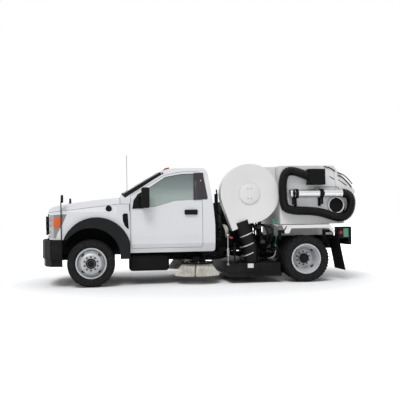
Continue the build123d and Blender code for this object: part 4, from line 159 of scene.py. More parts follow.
class Graph:
    """One material and its node tree."""

    def __init__(self, name: str) -> None:
        """Start an empty material.

        Args:
            name: The material's name.
        """
        self.material = bpy.data.materials.new(name)
        self.material.use_nodes = True
        self.tree = self.material.node_tree
        self.tree.nodes.clear()
        self.where = self.node("ShaderNodeTexCoord").outputs["Object"]
        split = self.node("ShaderNodeSeparateXYZ", inputs={0: self.where})
        self.x, self.y, self.z = [Number(self, socket) for socket in split.outputs]

    def node(self, kind: str, settings: dict | None = None, inputs: dict | None = None) -> bpy.types.Node:
        """Add any node.

        Args:
            kind: The node's type.
            settings: Its own properties, set first.
            inputs: Values, sockets or Numbers by socket name or index.

        Returns:
            The new node.
        """
        made = self.tree.nodes.new(kind)
        for key, value in (settings or {}).items():
            setattr(made, key, value)
        for key, value in (inputs or {}).items():
            if isinstance(value, Number):
                value = value.socket
            if isinstance(value, bpy.types.NodeSocket):
                self.tree.links.new(value, made.inputs[key])
            else:
                made.inputs[key].default_value = value
        return made

    def noise(self, scale: float, detail: float = 3.0, stretch: Point = (1, 1, 1)) -> Number:
        """Return a noise over Object coordinates, 0 to 1, with its grain in 1/m."""
        mapped = self.node("ShaderNodeMapping", inputs={"Vector": self.where, "Scale": stretch})
        made = self.node(
            "ShaderNodeTexNoise", inputs={"Vector": mapped.outputs[0], "Scale": scale, "Detail": detail}
        )
        return Number(self, made.outputs[0])

    def mix(self, factor: object, low: object, high: object) -> bpy.types.NodeSocket:
        """Return a colour between two colours."""
        made = self.node("ShaderNodeMix", {"data_type": "RGBA"}, {0: factor, 6: low, 7: high})
        return made.outputs[2]

    def bump(self, height: Number, strength: float, distance: float) -> bpy.types.NodeSocket:
        """Return a normal that is disturbed by a height."""
        made = self.node(
            "ShaderNodeBump", inputs={"Height": height, "Strength": strength, "Distance": distance}
        )
        return made.outputs[0]

    def finish(self, inputs: dict) -> bpy.types.Material:
        """Close the material with one Principled shader and return it."""
        shader = self.node("ShaderNodeBsdfPrincipled", inputs=inputs)
        self.node("ShaderNodeOutputMaterial", inputs={"Surface": shader.outputs[0]})
        return self.material


def shade(colour: Point) -> tuple[float, float, float, float]:
    """Return a colour with its alpha."""
    return (*colour, 1.0)


def turns(count: int) -> list[float]:
    """Return a number of even angles round a full circle."""
    return [2 * math.pi * k / count for k in range(count)]


@dataclass(frozen=True)
class Paint:
    """Sprayed paint with road dust that thickens towards the ground."""

    name: str
    colour: Point
    dust: Point = (0.42, 0.39, 0.35)
    dust_share: float = 0.35
    dust_top: float = 1.3
    roughness: float = 0.35
    coat: float = 0.3
    grain: float = 0.03
    gloss: float = 0.5

    def make(self) -> bpy.types.Material:
        """Return the material."""
        graph = Graph(self.name)
        clouds = graph.noise(2.2, 5.0)
        low = 1.0 - graph.z.ramp(0.25, self.dust_top)
        specks = graph.noise(38.0, 2.0).ramp(0.52, 0.75)
        film = low * clouds.ramp(0.3, 0.75) * self.dust_share + specks * low * (self.dust_share * 0.3)
        shadow = graph.noise(1.1, 2.0) * 0.06
        base = graph.mix(shadow, shade(self.colour), shade(tuple(c * 0.6 for c in self.colour)))
        inputs = {
            "Base Color": graph.mix(film, base, shade(self.dust)),
            "Roughness": graph.noise(14.0) * 0.12 + film * 0.4 + (self.roughness - 0.06),
            "Specular IOR Level": self.gloss,
            "Coat Weight": self.coat,
            "Coat Roughness": 0.12,
            "Normal": graph.bump(graph.noise(420.0, 1.0), self.grain, 0.001),
        }
        return graph.finish(inputs)


@dataclass(frozen=True)
class Plastic:
    """Moulded plastic or rubber with a fine grain."""

    name: str
    colour: Point
    roughness: float = 0.55
    grain: float = 0.25
    grain_scale: float = 700.0
    dust_share: float = 0.15
    gloss: float = 0.10

    def make(self) -> bpy.types.Material:
        """Return the material."""
        graph = Graph(self.name)
        worn = graph.noise(5.0, 4.0).ramp(0.45, 0.8) * self.dust_share
        inputs = {
            "Base Color": graph.mix(worn, shade(self.colour), shade(tuple(c + 0.03 for c in self.colour))),
            "Roughness": graph.noise(30.0) * 0.2 + (self.roughness - 0.1),
            "Specular IOR Level": self.gloss,
            "Normal": graph.bump(graph.noise(self.grain_scale, 2.0), self.grain, 0.001),
        }
        return graph.finish(inputs)


@dataclass(frozen=True)
class Metal:
    """Bare or plated metal with fine scratches along X."""

    name: str
    colour: Point
    roughness: float = 0.3
    metallic: float = 1.0
    scratch: float = 0.08
    rust: float = 0.0

    def make(self) -> bpy.types.Material:
        """Return the material."""
        graph = Graph(self.name)
        lines = graph.noise(60.0, 3.0, (0.15, 4.0, 4.0))
        stain = graph.noise(7.0, 6.0).ramp(0.55, 0.75) * self.rust
        inputs = {
            "Base Color": graph.mix(stain, shade(self.colour), shade((0.20, 0.10, 0.05))),
            "Metallic": (1.0 - stain) * self.metallic,
            "Roughness": lines * 0.25 + stain * 0.4 + (self.roughness - 0.1),
            "Normal": graph.bump(lines, self.scratch, 0.001),
        }
        return graph.finish(inputs)


@dataclass(frozen=True)
class WheelPaint:
    """Silver wheel paint with brake dust towards the hub and in random patches."""

    name: str
    centre_x: float
    centre_z: float = AXLE_Z
    colour: Point = (0.50, 0.51, 0.53)

    def make(self) -> bpy.types.Material:
        """Return the material."""
        graph = Graph(self.name)
        radius = ((graph.x - self.centre_x) ** 2.0 + (graph.z - self.centre_z) ** 2.0) ** 0.5
        dark = (1.0 - radius.ramp(0.07, 0.11)) * 0.35 + graph.noise(16.0, 5.0).ramp(0.45, 0.8) * 0.3
        inputs = {
            "Base Color": graph.mix(dark, shade(self.colour), shade((0.12, 0.11, 0.10))),
            "Metallic": 0.35,
            "Roughness": graph.noise(40.0) * 0.2 + 0.35,
            "Normal": graph.bump(graph.noise(300.0, 2.0), 0.08, 0.001),
        }
        return graph.finish(inputs)


@dataclass(frozen=True)
class TyreRubber:
    """Tyre rubber, greyer on the side wall's scuffed band."""

    name: str
    centre_x: float
    centre_z: float = AXLE_Z

    def make(self) -> bpy.types.Material:
        """Return the material."""
        graph = Graph(self.name)
        radius = ((graph.x - self.centre_x) ** 2.0 + (graph.z - self.centre_z) ** 2.0) ** 0.5
        band = radius.ramp(0.27, 0.30) * (1.0 - radius.ramp(0.36, 0.385))
        scuff = graph.noise(22.0, 5.0).ramp(0.35, 0.8) * 0.3 + band * 0.12
        rings = (radius * 900.0).wave() * band
        inputs = {
            "Base Color": graph.mix(scuff, shade(PLASTIC_BLACK), shade((0.045, 0.043, 0.042))),
            "Roughness": graph.noise(60.0) * 0.15 + 0.68,
            "Specular IOR Level": 0.1,
            "Normal": graph.bump(rings * 0.4 + graph.noise(250.0, 2.0) * 0.3, 0.25, 0.002),
        }
        return graph.finish(inputs)


@dataclass(frozen=True)
class TintedGlass:
    """Window glass whose colour holds a soft painted reflection that pales towards the sill."""

    name: str
    # Colours of the painted reflection at the glass's top and at its sill.
    top: Point = (0.13, 0.165, 0.165)
    bottom: Point = (0.36, 0.43, 0.40)
    alpha: float = 0.9

    def make(self) -> bpy.types.Material:
        """Return the material."""
        graph = Graph(self.name)
        # Painted reflection: the colour grows paler towards the glass's foot.
        painted_reflection = (graph.z + graph.noise(1.6, 2.0, (0.4, 1.0, 2.5)) * 0.35).ramp(1.45, 2.1)
        inputs = {
            "Base Color": graph.mix(painted_reflection, shade(self.bottom), shade(self.top)),
            "Roughness": 0.06,
            "Alpha": self.alpha,
            "Specular IOR Level": 0.6,
        }
        return graph.finish(inputs)


@dataclass(frozen=True)
class Lens:
    """Lamp plastic with moulded ribs."""

    name: str
    colour: Point
    alpha: float = 1.0
    ribs: float = 900.0
    haze: float = 0.25
    coat: float = 0.6

    def make(self) -> bpy.types.Material:
        """Return the material."""
        graph = Graph(self.name)
        ribbed = (graph.z * self.ribs).wave()
        inputs = {
            "Base Color": graph.mix(
                graph.noise(25.0) * self.haze, shade(self.colour), shade((0.9, 0.9, 0.9))
            ),
            "Roughness": 0.12, "Alpha": self.alpha, "Specular IOR Level": 0.3, "Coat Weight": self.coat,
            "Normal": graph.bump(ribbed, 0.25, 0.002),
        }
        return graph.finish(inputs)


@dataclass(frozen=True)
class Weave:
    """Woven seat cloth with a heather of two greys."""

    name: str
    colour: Point = (0.13, 0.13, 0.14)

    def make(self) -> bpy.types.Material:
        """Return the material."""
        graph = Graph(self.name)
        warp = (graph.x * 2200.0).wave() * (graph.y * 2200.0).wave()
        inputs = {
            "Base Color": graph.mix(graph.noise(240.0) * 0.5, shade(self.colour), shade((0.24, 0.24, 0.25))),
            "Roughness": 0.85,
            "Sheen Weight": 0.3,
            "Normal": graph.bump(warp, 0.3, 0.001),
        }
        return graph.finish(inputs)


@dataclass(frozen=True)
class BristleStrands:
    """Cream broom wire, dirty towards its tips."""

    name: str
    tip_z: float = 0.02
    root_z: float = 0.33

    def make(self) -> bpy.types.Material:
        """Return the material."""
        graph = Graph(self.name)
        clean = graph.z.ramp(self.tip_z, self.root_z)
        strand = graph.noise(75.0, 3.0, (1.0, 1.0, 0.06)).ramp(0.35, 0.65)
        pale = graph.mix(strand, shade((0.62, 0.59, 0.52)), shade((0.98, 0.97, 0.93)))
        dirty = graph.mix(strand, shade((0.42, 0.38, 0.31)), shade((0.92, 0.89, 0.82)))
        inputs = {
            "Base Color": graph.mix(clean, dirty, pale),
            "Roughness": 0.7,
            "Normal": graph.bump(strand, 0.5, 0.003),
        }
        return graph.finish(inputs)


class Palette:
    """All finishes of the truck, each made once."""

    def __init__(self) -> None:
        """Make every material."""
        self.white = Paint("body_white", (0.655, 0.665, 0.685), dust_share=0.22, dust_top=1.15).make()
        self.hopper = Paint("hopper_white", (0.72, 0.72, 0.72), roughness=0.45, coat=0.1).make()
        self.blower = Paint("blower_white", (0.70, 0.70, 0.69), dust_share=0.12, coat=0.2).make()
        self.black = Paint(
            "chassis_black", (0.004, 0.004, 0.0042), (0.035, 0.033, 0.03), 0.35, roughness=0.5, coat=0.0,
            gloss=0.09
        ).make()
        self.gear = Paint(
            "running_gear", (0.008, 0.008, 0.0085), (0.06, 0.05, 0.04), 0.45, roughness=0.6, coat=0.0,
            gloss=0.1
        ).make()
        self.red = Paint("valve_red", (0.45, 0.02, 0.02), dust_share=0.1).make()
        self.green = Paint("fitting_green", (0.015, 0.20, 0.11), dust_share=0.1).make()
        self.chrome = Metal("rod_chrome", (0.75, 0.76, 0.78), 0.15, scratch=0.02).make()
        self.zinc = Metal("zinc_plate", (0.55, 0.55, 0.53), 0.4, rust=0.4).make()
        self.tube = Metal("tube_aluminium", (0.62, 0.63, 0.65), 0.33, 0.85, 0.2).make()
        self.iron = Metal("engine_iron", (0.05, 0.05, 0.05), 0.6, 0.5, 0.3, 0.35).make()
        self.tank = Paint(
            "tank_black", (0.004, 0.004, 0.004), ROAD_DUST, 0.2, roughness=0.45, coat=0.0, gloss=0.08
        ).make()
        self.hub = Paint("hub_black", PLASTIC_BLACK, ROAD_DUST, 0.3, 3.0, 0.5, 0.0, gloss=0.12).make()
        self.nut = Metal("wheel_nut_steel", (0.10, 0.095, 0.09), 0.5, 0.5, 0.1, 0.3).make()
        self.plastic = Plastic("grained_plastic", PLASTIC_BLACK).make()
        self.flare = Plastic("flare_plastic", (0.012, 0.0125, 0.0135), 0.6, 0.3).make()
        self.pillar = Plastic("pillar_plastic", (0.050, 0.046, 0.048), 0.3, 0.05).make()
        self.dash = Plastic("dash_plastic", (0.07, 0.07, 0.075), 0.6).make()
        self.seat = Weave("seat_cloth").make()
        self.hose = Plastic("hose_rubber", RUBBER_BLACK, 0.34, 0.15, 300.0, 0.1, 0.14).make()
        self.flap = Plastic("flap_rubber", RUBBER_BLACK, 0.75, 0.3, 200.0, 0.1).make()
        self.pale_hose = Plastic("pale_hose", (0.42, 0.41, 0.36), 0.6, 0.1).make()
        self.bristle = BristleStrands("broom_strands").make()
        self.glass = TintedGlass("window_glass").make()
        self.screen = TintedGlass("windscreen_glass", (0.045, 0.055, 0.055), (0.10, 0.115, 0.115)).make()
        self.clear = Lens("clear_lens", (0.10, 0.11, 0.105), haze=0.22).make()
        self.amber = Lens("amber_lens", (0.62, 0.085, 0.0), haze=0.0, coat=0.15).make()
        self.marker = Lens("marker_lens", (0.40, 0.04, 0.01), haze=0.03, coat=0.3).make()
        self.tail = Lens("red_lens", (0.30, 0.003, 0.006), haze=0.0, coat=0.1).make()
        self.seal = Plastic("window_seal", PLASTIC_BLACK, 0.5, 0.1).make()
        # Black plastic for the grille bars, the vent and the handle recess; on the port's opening and the
        # rear slots it is painted shade.
        self.dark = Plastic("black_and_painted_recess_shade", (0.006, 0.006, 0.006), 0.8, 0.1, 200.0, 0.05).make()
        self.front_tyre = TyreRubber("front_tyre_rubber", FRONT_AXLE_X).make()
        self.rear_tyre = TyreRubber("rear_tyre_rubber", REAR_AXLE_X).make()
        self.front_wheel = WheelPaint("front_wheel_silver", FRONT_AXLE_X).make()
        self.rear_wheel = WheelPaint("rear_wheel_silver", REAR_AXLE_X).make()

    def dress(self, nodes: dict[str, bpy.types.Object]) -> None:
        """Give each CAD node its finish.

        Args:
            nodes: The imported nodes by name.
        """
        by_start = [
            ("cab_shell", self.white), ("door_left", self.white), ("door_right", self.white),
            ("hood", self.white), ("front_fenders", self.white), ("hopper_door", self.hopper),
            ("hopper_fittings", self.black), ("hopper", self.hopper), ("fan_housing", self.blower),
            ("rear_fenders", self.blower), ("front_tyre", self.front_tyre), ("rear_tyres", self.rear_tyre),
            ("front_rim", self.front_wheel), ("rear_rims", self.rear_wheel), ("front_bumper", self.plastic),
            ("wheel_flares", self.flare), ("grille", self.plastic), ("door_trim", self.plastic),
            ("cab_trim", self.plastic), ("dashboard", self.dash), ("bench_seat", self.seat),
            ("air_hoses", self.hose), ("hand_hose", self.hose), ("mud_flaps", self.flap),
            ("broom_bristles", self.bristle), ("cab_glass", self.screen), ("door_glass", self.glass),
            ("headlamps", self.clear), ("marker_lamps", self.marker), ("hand_tube", self.tube),
            ("engine_block", self.iron), ("fuel_tank", self.tank), ("lift_rods", self.chrome),
            ("knuckle", self.gear), ("tie_rod", self.gear), ("front_axle", self.gear),
            ("rear_axle", self.gear), ("driveline", self.gear),
        ]
        for name, node in nodes.items():
            match = next((finish for start, finish in by_start if name.startswith(start)), self.black)
            node.data.materials.clear()
            node.data.materials.append(match)
        LOG.info("dressed %d CAD nodes", len(nodes))


class Shape:
    """Mesh under construction, in the truck's frame."""

    def __init__(self, name: str) -> None:
        """Start an empty shape.

        Args:
            name: The piece's name.
        """
        self.name = name
        self.mesh = bmesh.new()

    def box(self, low: Point, high: Point) -> "Shape":
        """Add a box between two corners."""
        made = bmesh.ops.create_cube(self.mesh, size=1.0)["verts"]
        for vert in made:
            vert.co = Vector([low[i] + (vert.co[i] + 0.5) * (high[i] - low[i]) for i in range(3)])
        return self

    def prism(self, outline: Sequence[tuple[float, float]], y_pair: tuple[float, float]) -> "Shape":
        """Add an outline in XZ drawn out along Y."""
        rings = [[self.mesh.verts.new((x, y, z)) for x, z in outline] for y in y_pair]
        self._close(rings, True, True)
        return self

    def slab(self, outline: Sequence[Point], thickness: Point) -> "Shape":
        """Add a flat outline in space, drawn out along a vector."""
        step = Vector(thickness)
        rings = [[self.mesh.verts.new(Vector(p) + step * k) for p in outline] for k in (0, 1)]
        self._close(rings, True, True)
        return self

    def lathe(self, profile: Sequence[tuple[float, float]], centre: Point, axis: str = "Y",
              steps: int = 48, closed: bool = False) -> "Shape":
        """Add a turned form.

        Args:
            profile: Pairs of radius and place along the axis.
            centre: A point on the axis that the places are counted from.
            axis: The axis, "X", "Y" or "Z".
            steps: How many facets round.
            closed: True where the profile is a closed loop.
        """
        columns = []
        for angle in turns(steps):
            ring = []
            for radius, along in profile:
                a, b = radius * math.cos(angle), radius * math.sin(angle)
                place = {"X": (along, a, b), "Y": (a, along, b), "Z": (a, b, along)}[axis]
                ring.append(self.mesh.verts.new(Vector(centre) + Vector(place)))
            columns.append(ring)
        columns.append(columns[0])
        self._close(columns, closed, False)
        return self

    def tube(self, path: Sequence[Point], radius: float, sides: int = 10,
             ribs: tuple[float, float] | None = None) -> "Shape":
        """Add a round bar or hose along a path.

        Args:
            path: Points, evenly spaced where the tube has ribs.
            radius: Outer radius.
            sides: Facets round.
            ribs: Pitch and depth of the ribs, if it has them.
        """
        points = [Vector(p) for p in path]
        travelled = 0.0
        tangent = (points[1] - points[0]).normalized()
        normal = tangent.orthogonal().normalized()
        rings = []
        for i, point in enumerate(points):
            ahead = points[min(i + 1, len(points) - 1)] - points[max(i - 1, 0)]
            tangent = ahead.normalized()
            normal = (normal - tangent * normal.dot(tangent)).normalized()
            side = tangent.cross(normal)
            if i:
                travelled += (point - points[i - 1]).length
            size = radius
            if ribs:
                size -= ribs[1] * (0.5 - 0.5 * math.cos(2 * math.pi * travelled / ribs[0])) ** 2
            rings.append([
                self.mesh.verts.new(point + (normal * math.cos(t) + side * math.sin(t)) * size)
                for t in turns(sides)
            ])
        self._close(rings, True, True)
        return self

    def _close(self, rings: list, loop: bool, caps: bool) -> None:
        """Join rings of vertices by quads, and close the two ends."""
        count = len(rings[0])
        for first, second in zip(rings, rings[1:]):
            for k in range(count if loop else count - 1):
                n = (k + 1) % count
                self.mesh.faces.new((first[k], first[n], second[n], second[k]))
        if caps:
            self.mesh.faces.new(list(reversed(rings[0])))
            self.mesh.faces.new(rings[-1])

    def piece(self, body: str, finish: bpy.types.Material, slot: Slot, bevel: float = 0.0,
              angle: float = 35.0) -> bpy.types.Object:
        """Turn the shape into a finished piece.

        Args:
            body: The CAD body that it rides on.
            finish: Its material.
            slot: The record's slot; not used.
            bevel: Width of rounded edges, or 0.
            angle: Faces that meet at less than this many degrees are shaded smooth.

        Returns:
            The new object.
        """
        bmesh.ops.remove_doubles(self.mesh, verts=self.mesh.verts, dist=1e-6)
        bmesh.ops.recalc_face_normals(self.mesh, faces=self.mesh.faces)
        data = bpy.data.meshes.new(self.name)
        self.mesh.to_mesh(data)
        self.mesh.free()
        made = bpy.data.objects.new(self.name, data)
        bpy.context.scene.collection.objects.link(made)
        data.materials.append(finish)
        if bevel:
            rounding = made.modifiers.new("edges", "BEVEL")
            rounding.width = bevel
            rounding.segments = 2
            rounding.limit_method = "ANGLE"
        return settle(made, body, angle)


def settle(made: bpy.types.Object, body: str, angle: float = 35.0) -> bpy.types.Object:
    """Smooth a piece and let it ride on a body."""
    data = made.data
    data.polygons.foreach_set("use_smooth", [True] * len(data.polygons))
    data.set_sharp_from_angle(angle=math.radians(angle))
    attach(made, body)
    return made


@dataclass
class Copies:
    """Copies of one small form at many places, made with Geometry Nodes."""

    name: str
    template: Shape
    places: list[tuple[Point, Point]]
    scales: list[float] = field(default_factory=list)

    def tree(self) -> bpy.types.NodeTree:
        """Return the node tree: points to instances, realized and given their material."""
        tree = bpy.data.node_groups.new(self.name + "_tree", "GeometryNodeTree")
        face = tree.interface
        face.new_socket("Places", in_out="INPUT", socket_type="NodeSocketGeometry")
        face.new_socket("Template", in_out="INPUT", socket_type="NodeSocketObject")
        face.new_socket("Size", in_out="INPUT", socket_type="NodeSocketFloat")
        face.new_socket("Finish", in_out="INPUT", socket_type="NodeSocketMaterial")
        face.new_socket("Geometry", in_out="OUTPUT", socket_type="NodeSocketGeometry")
        nodes, link = tree.nodes, tree.links.new
        start, end = nodes.new("NodeGroupInput"), nodes.new("NodeGroupOutput")
        form = nodes.new("GeometryNodeObjectInfo")
        link(start.outputs["Template"], form.inputs["Object"])
        turn, scale = [nodes.new("GeometryNodeInputNamedAttribute") for _ in range(2)]
        turn.data_type = "FLOAT_VECTOR"
        turn.inputs["Name"].default_value = "turn"
        scale.data_type = "FLOAT"
        scale.inputs["Name"].default_value = "share"
        sized = nodes.new("ShaderNodeMath")
        sized.operation = "MULTIPLY"
        link(scale.outputs["Attribute"], sized.inputs[0])
        link(start.outputs["Size"], sized.inputs[1])
        spread = nodes.new("GeometryNodeInstanceOnPoints")
        link(start.outputs["Places"], spread.inputs["Points"])
        link(form.outputs["Geometry"], spread.inputs["Instance"])
        link(turn.outputs["Attribute"], spread.inputs["Rotation"])
        link(sized.outputs[0], spread.inputs["Scale"])
        real = nodes.new("GeometryNodeRealizeInstances")
        link(spread.outputs[0], real.inputs[0])
        paint = nodes.new("GeometryNodeSetMaterial")
        link(real.outputs[0], paint.inputs["Geometry"])
        link(start.outputs["Finish"], paint.inputs["Material"])
        link(paint.outputs[0], end.inputs[0])
        return tree

    def piece(self, body: str, finish: bpy.types.Material, slot: Slot, size: float = 1.0,
              angle: float = 35.0) -> bpy.types.Object:
        """Return all the copies as one plain mesh that rides on a body."""
        bmesh.ops.recalc_face_normals(self.template.mesh, faces=self.template.mesh.faces)
        form_data = bpy.data.meshes.new(self.name + "_form")
        self.template.mesh.to_mesh(form_data)
        self.template.mesh.free()
        form = bpy.data.objects.new(self.name + "_form", form_data)
        points = bpy.data.meshes.new(self.name + "_places")
        points.from_pydata([place for place, _ in self.places], [], [])
        turn = points.attributes.new("turn", "FLOAT_VECTOR", "POINT")
        turn.data.foreach_set("vector", [value for _, angles in self.places for value in angles])
        share = points.attributes.new("share", "FLOAT", "POINT")
        share.data.foreach_set("value", self.scales or [1.0] * len(self.places))
        carrier = bpy.data.objects.new(self.name + "_carrier", points)
        for item in (form, carrier):
            bpy.context.scene.collection.objects.link(item)
        maker = carrier.modifiers.new("copies", "NODES")
        maker.node_group = self.tree()
        sockets = {s.name: s.identifier for s in maker.node_group.interface.items_tree if s.in_out == "INPUT"}
        maker[sockets["Template"]] = form
        maker[sockets["Size"]] = size
        maker[sockets["Finish"]] = finish
        evaluated = carrier.evaluated_get(bpy.context.evaluated_depsgraph_get())
        data = bpy.data.meshes.new_from_object(evaluated)
        made = bpy.data.objects.new(self.name, data)
        bpy.context.scene.collection.objects.link(made)
        for item in (carrier, form):
            bpy.data.objects.remove(item)
        return settle(made, body, angle)


def nurbs_route(points: Sequence[Point], step: float) -> list[Point]:
    """Return evenly spaced points on the smooth line that a route's points control."""
    data = bpy.data.curves.new("route", "CURVE")
    data.dimensions = "3D"
    data.resolution_u = 24
    spline = data.splines.new("NURBS")
    spline.points.add(len(points) - 1)
    for control, place in zip(spline.points, points):
        control.co = (*place, 1.0)
    spline.use_endpoint_u = True
    spline.order_u = 3
    holder = bpy.data.objects.new("route", data)
    bpy.context.scene.collection.objects.link(holder)
    mesh = bpy.data.meshes.new_from_object(holder.evaluated_get(bpy.context.evaluated_depsgraph_get()))
    line = [v.co.copy() for v in mesh.vertices]
    bpy.data.objects.remove(holder)
    lengths = [0.0]
    for first, second in zip(line, line[1:]):
        lengths.append(lengths[-1] + (second - first).length)
    count = max(2, round(lengths[-1] / step))
    even, at = [], 0
    for k in range(count + 1):
        wanted = lengths[-1] * k / count
        while at < len(line) - 2 and lengths[at + 1] < wanted:
            at += 1
        span = max(lengths[at + 1] - lengths[at], 1e-9)
        even.append(tuple(line[at].lerp(line[at + 1], (wanted - lengths[at]) / span)))
    return even


def bolt(radius: float, height: float, axis: str = "Y") -> Shape:
    """Return a hexagonal bolt head with a washer, its seat at the origin."""
    washer = [(0.0, 0.0), (radius * 1.45, 0.0), (radius * 1.45, height * 0.2), (0.0, height * 0.2)]
    head = [
        (0.0, height * 0.2), (radius, height * 0.2), (radius, height * 0.9), (radius * 0.85, height),
        (0.0, height)
    ]
    shape = Shape("bolt").lathe(washer, (0, 0, 0), axis, 16)
    return shape.lathe(head, (0, 0, 0), axis, 6)


@dataclass
class SubAssembly:
    """A group of pieces that belong together."""

    palette: Palette

    def build(self) -> list[bpy.types.Object]:
        """Return the finished pieces."""
        raise NotImplementedError


@dataclass
class Wheels(SubAssembly):
    """Tyres with grooved tread and shoulder lugs, and dark hub covers."""

    radius: float = AXLE_Z
    half_width: float = 0.1125
    bead: float = 0.2545
    groove_depth: float = 0.010
    groove_places: tuple[float, ...] = (-0.058, -0.020, 0.020, 0.058)
    groove_half: float = 0.0055
    lug_count: int = 44
    hub_radius: float = 0.086
    nut_circle: float = 0.114
    nut_count: int = 10

    def profile(self) -> list[tuple[float, float]]:
        """Return the tyre's closed section as pairs of radius and width."""
        r, w = self.radius, self.half_width
        crown = [(r - 0.012, -w * 0.86)]
        for place in self.groove_places:
            for offset, depth in ((-self.groove_half, 0.0), (-self.groove_half * 0.7, self.groove_depth),
                                  (self.groove_half * 0.7, self.groove_depth), (self.groove_half, 0.0)):
                drop = 0.010 * ((place + offset) / w) ** 2
                crown.append((r - drop - depth, place + offset))
        crown.append((r - 0.012, w * 0.86))
        side = [
            (r - 0.030, w * 0.945), (r - 0.045, w * 0.985), (r - 0.048, w * 0.965), (r - 0.075, w * 0.995),
            (r - 0.105, w * 0.985), (r - 0.108, w * 0.96), (r - 0.130, w * 0.90),
            (self.bead + 0.008, w * 0.78), (self.bead, w * 0.66),
        ]
        return crown + side + [(radius, -along) for radius, along in reversed(side)]

    def tyre(
        self, name: str, body: str, x: float, y: float, finish: bpy.types.Material
    ) -> list[bpy.types.Object]:
        """Return one tyre and its lugs."""
        centre = (x, y, self.radius)
        ring = Shape(name).lathe(
            self.profile(), centre, "Y", 96, True
        ).piece(body, finish, Slot.TYRE, angle=28)
        lug = Shape("lug").box((-0.0135, -0.019, -0.012), (0.0135, 0.019, 0.006))
        places = []
        for k in range(self.lug_count):
            angle = 2 * math.pi * k / self.lug_count
            for side in (-1, 1):
                shift = angle + (math.pi / self.lug_count if side > 0 else 0)
                reach = self.radius - 0.0125
                at = (
                    x + reach * math.sin(shift), y + side * self.half_width * 0.79,
                    self.radius + reach * math.cos(shift)
                )
                places.append((at, (0.0, shift, 0.0)))
        lugs = Copies(name + "_lugs", lug, places).piece(body, finish, Slot.TYRE)
        return [ring, lugs]

    def hub(
        self, name: str, rim: str, body: str, x: float, side: int, proud: float
    ) -> list[bpy.types.Object]:
        """Return the dark hub cover and the ring of nuts on one wheel's outer face.

        Args:
            name: End of the pieces' names.
            rim: The rim's node.
            body: The wheel's body.
            x: The wheel's middle.
            side: 1 on the left, -1 on the right.
            proud: How far the cover stands out of the rim's face.
        """
        skin = Skin([rim], 1, side)
        z = self.radius
        face = skin.height(x + self.hub_radius * 0.75, z) or 0.9 * side
        cover = [
            (0.0, proud), (0.030, proud), (0.034, proud - 0.006), (0.052, proud - 0.008),
            (0.060, proud - 0.016), (0.066, proud * 0.35), (self.hub_radius - 0.006, 0.008),
            (self.hub_radius, 0.0), (0.0, -0.004)
        ]
        made = [
            Shape(f"hub_cover_{name}").lathe(
                [(r, side * a) for r, a in cover], (x, face, z), "Y", 48
            ).piece(body, self.palette.hub, Slot.STEEL, angle=30)
        ]
        places = []
        for k in range(self.nut_count):
            turn = 2 * math.pi * (k + 0.5) / self.nut_count
            a, b = x + self.nut_circle * math.cos(turn), z + self.nut_circle * math.sin(turn)
            places.append(((a, skin.height(a, b) or face, b), (0.0, turn, 0.0 if side > 0 else math.pi)))
        made.append(
            Copies(
                f"wheel_nuts_{name}", bolt(0.0115, 0.019), places
            ).piece(body, self.palette.nut, Slot.STEEL)
        )
        return made

    def build(self) -> list[bpy.types.Object]:
        """Return all the wheels' pieces."""
        made = []
        for name, side in SIDES.items():
            low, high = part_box(f"front_tyre_{name}")
            centre = (low + high) / 2
            pieces = self.tyre(
                f"tread_front_{name}", f"front_wheel_{name}", centre.x, centre.y, self.palette.front_tyre
            )
            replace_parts(pieces[0], f"front_tyre_{name}")
            made += pieces
            made += self.hub(
                f"front_{name}", f"front_rim_{name}", f"front_wheel_{name}", centre.x, side, 0.050
            )
            low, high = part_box(f"rear_tyres_{name}")
            width = 2 * self.half_width
            pieces = []
            for label, y in (("inner", low.y + width / 2), ("outer", high.y - width / 2)):
                x = (low.x + high.x) / 2
                pieces += self.tyre(
                    f"tread_{label}_{name}", f"rear_wheel_{name}", x, y, self.palette.rear_tyre
                )
            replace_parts(pieces[0], f"rear_tyres_{name}")
            made += pieces
            made += self.hub(
                f"rear_{name}", f"rear_rims_{name}", f"rear_wheel_{name}", (low.x + high.x) / 2, side, 0.062
            )
        return made


@dataclass
class Brooms(SubAssembly):
    """Gutter brooms: thousands of wires set in a ring, under a bolted plate."""

    wires: int = 4200
    seed_step: float = 2.399963
    split_half: float = 0.06

    def build(self) -> list[bpy.types.Object]:
        """Return the wires and the plates' bolts."""
        made = []
        for name in SIDES:
            low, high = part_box(f"broom_bristles_{name}")
            centre = (low + high) / 2
            top_radius = 0.26
            foot_radius = (high.x - low.x) / 2 - 0.004
            drop = high.z - low.z - 0.006
            wire = Shape("wire").slab(
                [(-0.0028, 0.0, 0.0), (0.0028, 0.0, 0.0), (0.0042, 0.0, -1.0), (-0.0042, 0.0, -1.0)],
                (0.0, 0.0034, 0.0)
            )
            places, scales = [], []
            for k in range(self.wires):
                angle = k * self.seed_step
                ring = 0.5 + 0.5 * math.sin(k * 12.9898)
                root = top_radius - 0.055 + 0.05 * ring
                foot = root + (foot_radius - top_radius) * (0.72 + 0.28 * ring)
                lean = math.atan2(foot - root, drop)
                if min(
                    abs((angle % math.pi) - 1.35), abs((angle % math.pi) - 1.35 - math.pi)
                ) < self.split_half:
                    continue
                at = (centre.x + root * math.cos(angle), centre.y + root * math.sin(angle), high.z)
                wobble = 0.05 * math.sin(k * 7.13)
                places.append((at, (wobble, -lean + wobble * 0.5, angle)))
                scales.append(drop / math.cos(lean) * (0.97 + 0.03 * math.sin(k * 3.7)))
            made.append(
                Copies(f"broom_wires_{name}", wire, places, scales).piece(
                    f"broom_{name}", self.palette.bristle, Slot.BRISTLE
                )
            )
            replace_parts(made[-1], f"broom_bristles_{name}")
            bolts = [
                ((centre.x + 0.21 * math.cos(t), centre.y + 0.21 * math.sin(t), high.z + 0.026), (0, 0, 0))
                for t in turns(8)
            ]
            made.append(Copies(f"broom_bolts_{name}", bolt(0.011, 0.012, "Z"), bolts).piece(
                f"broom_{name}", self.palette.zinc, Slot.STEEL))
        return made


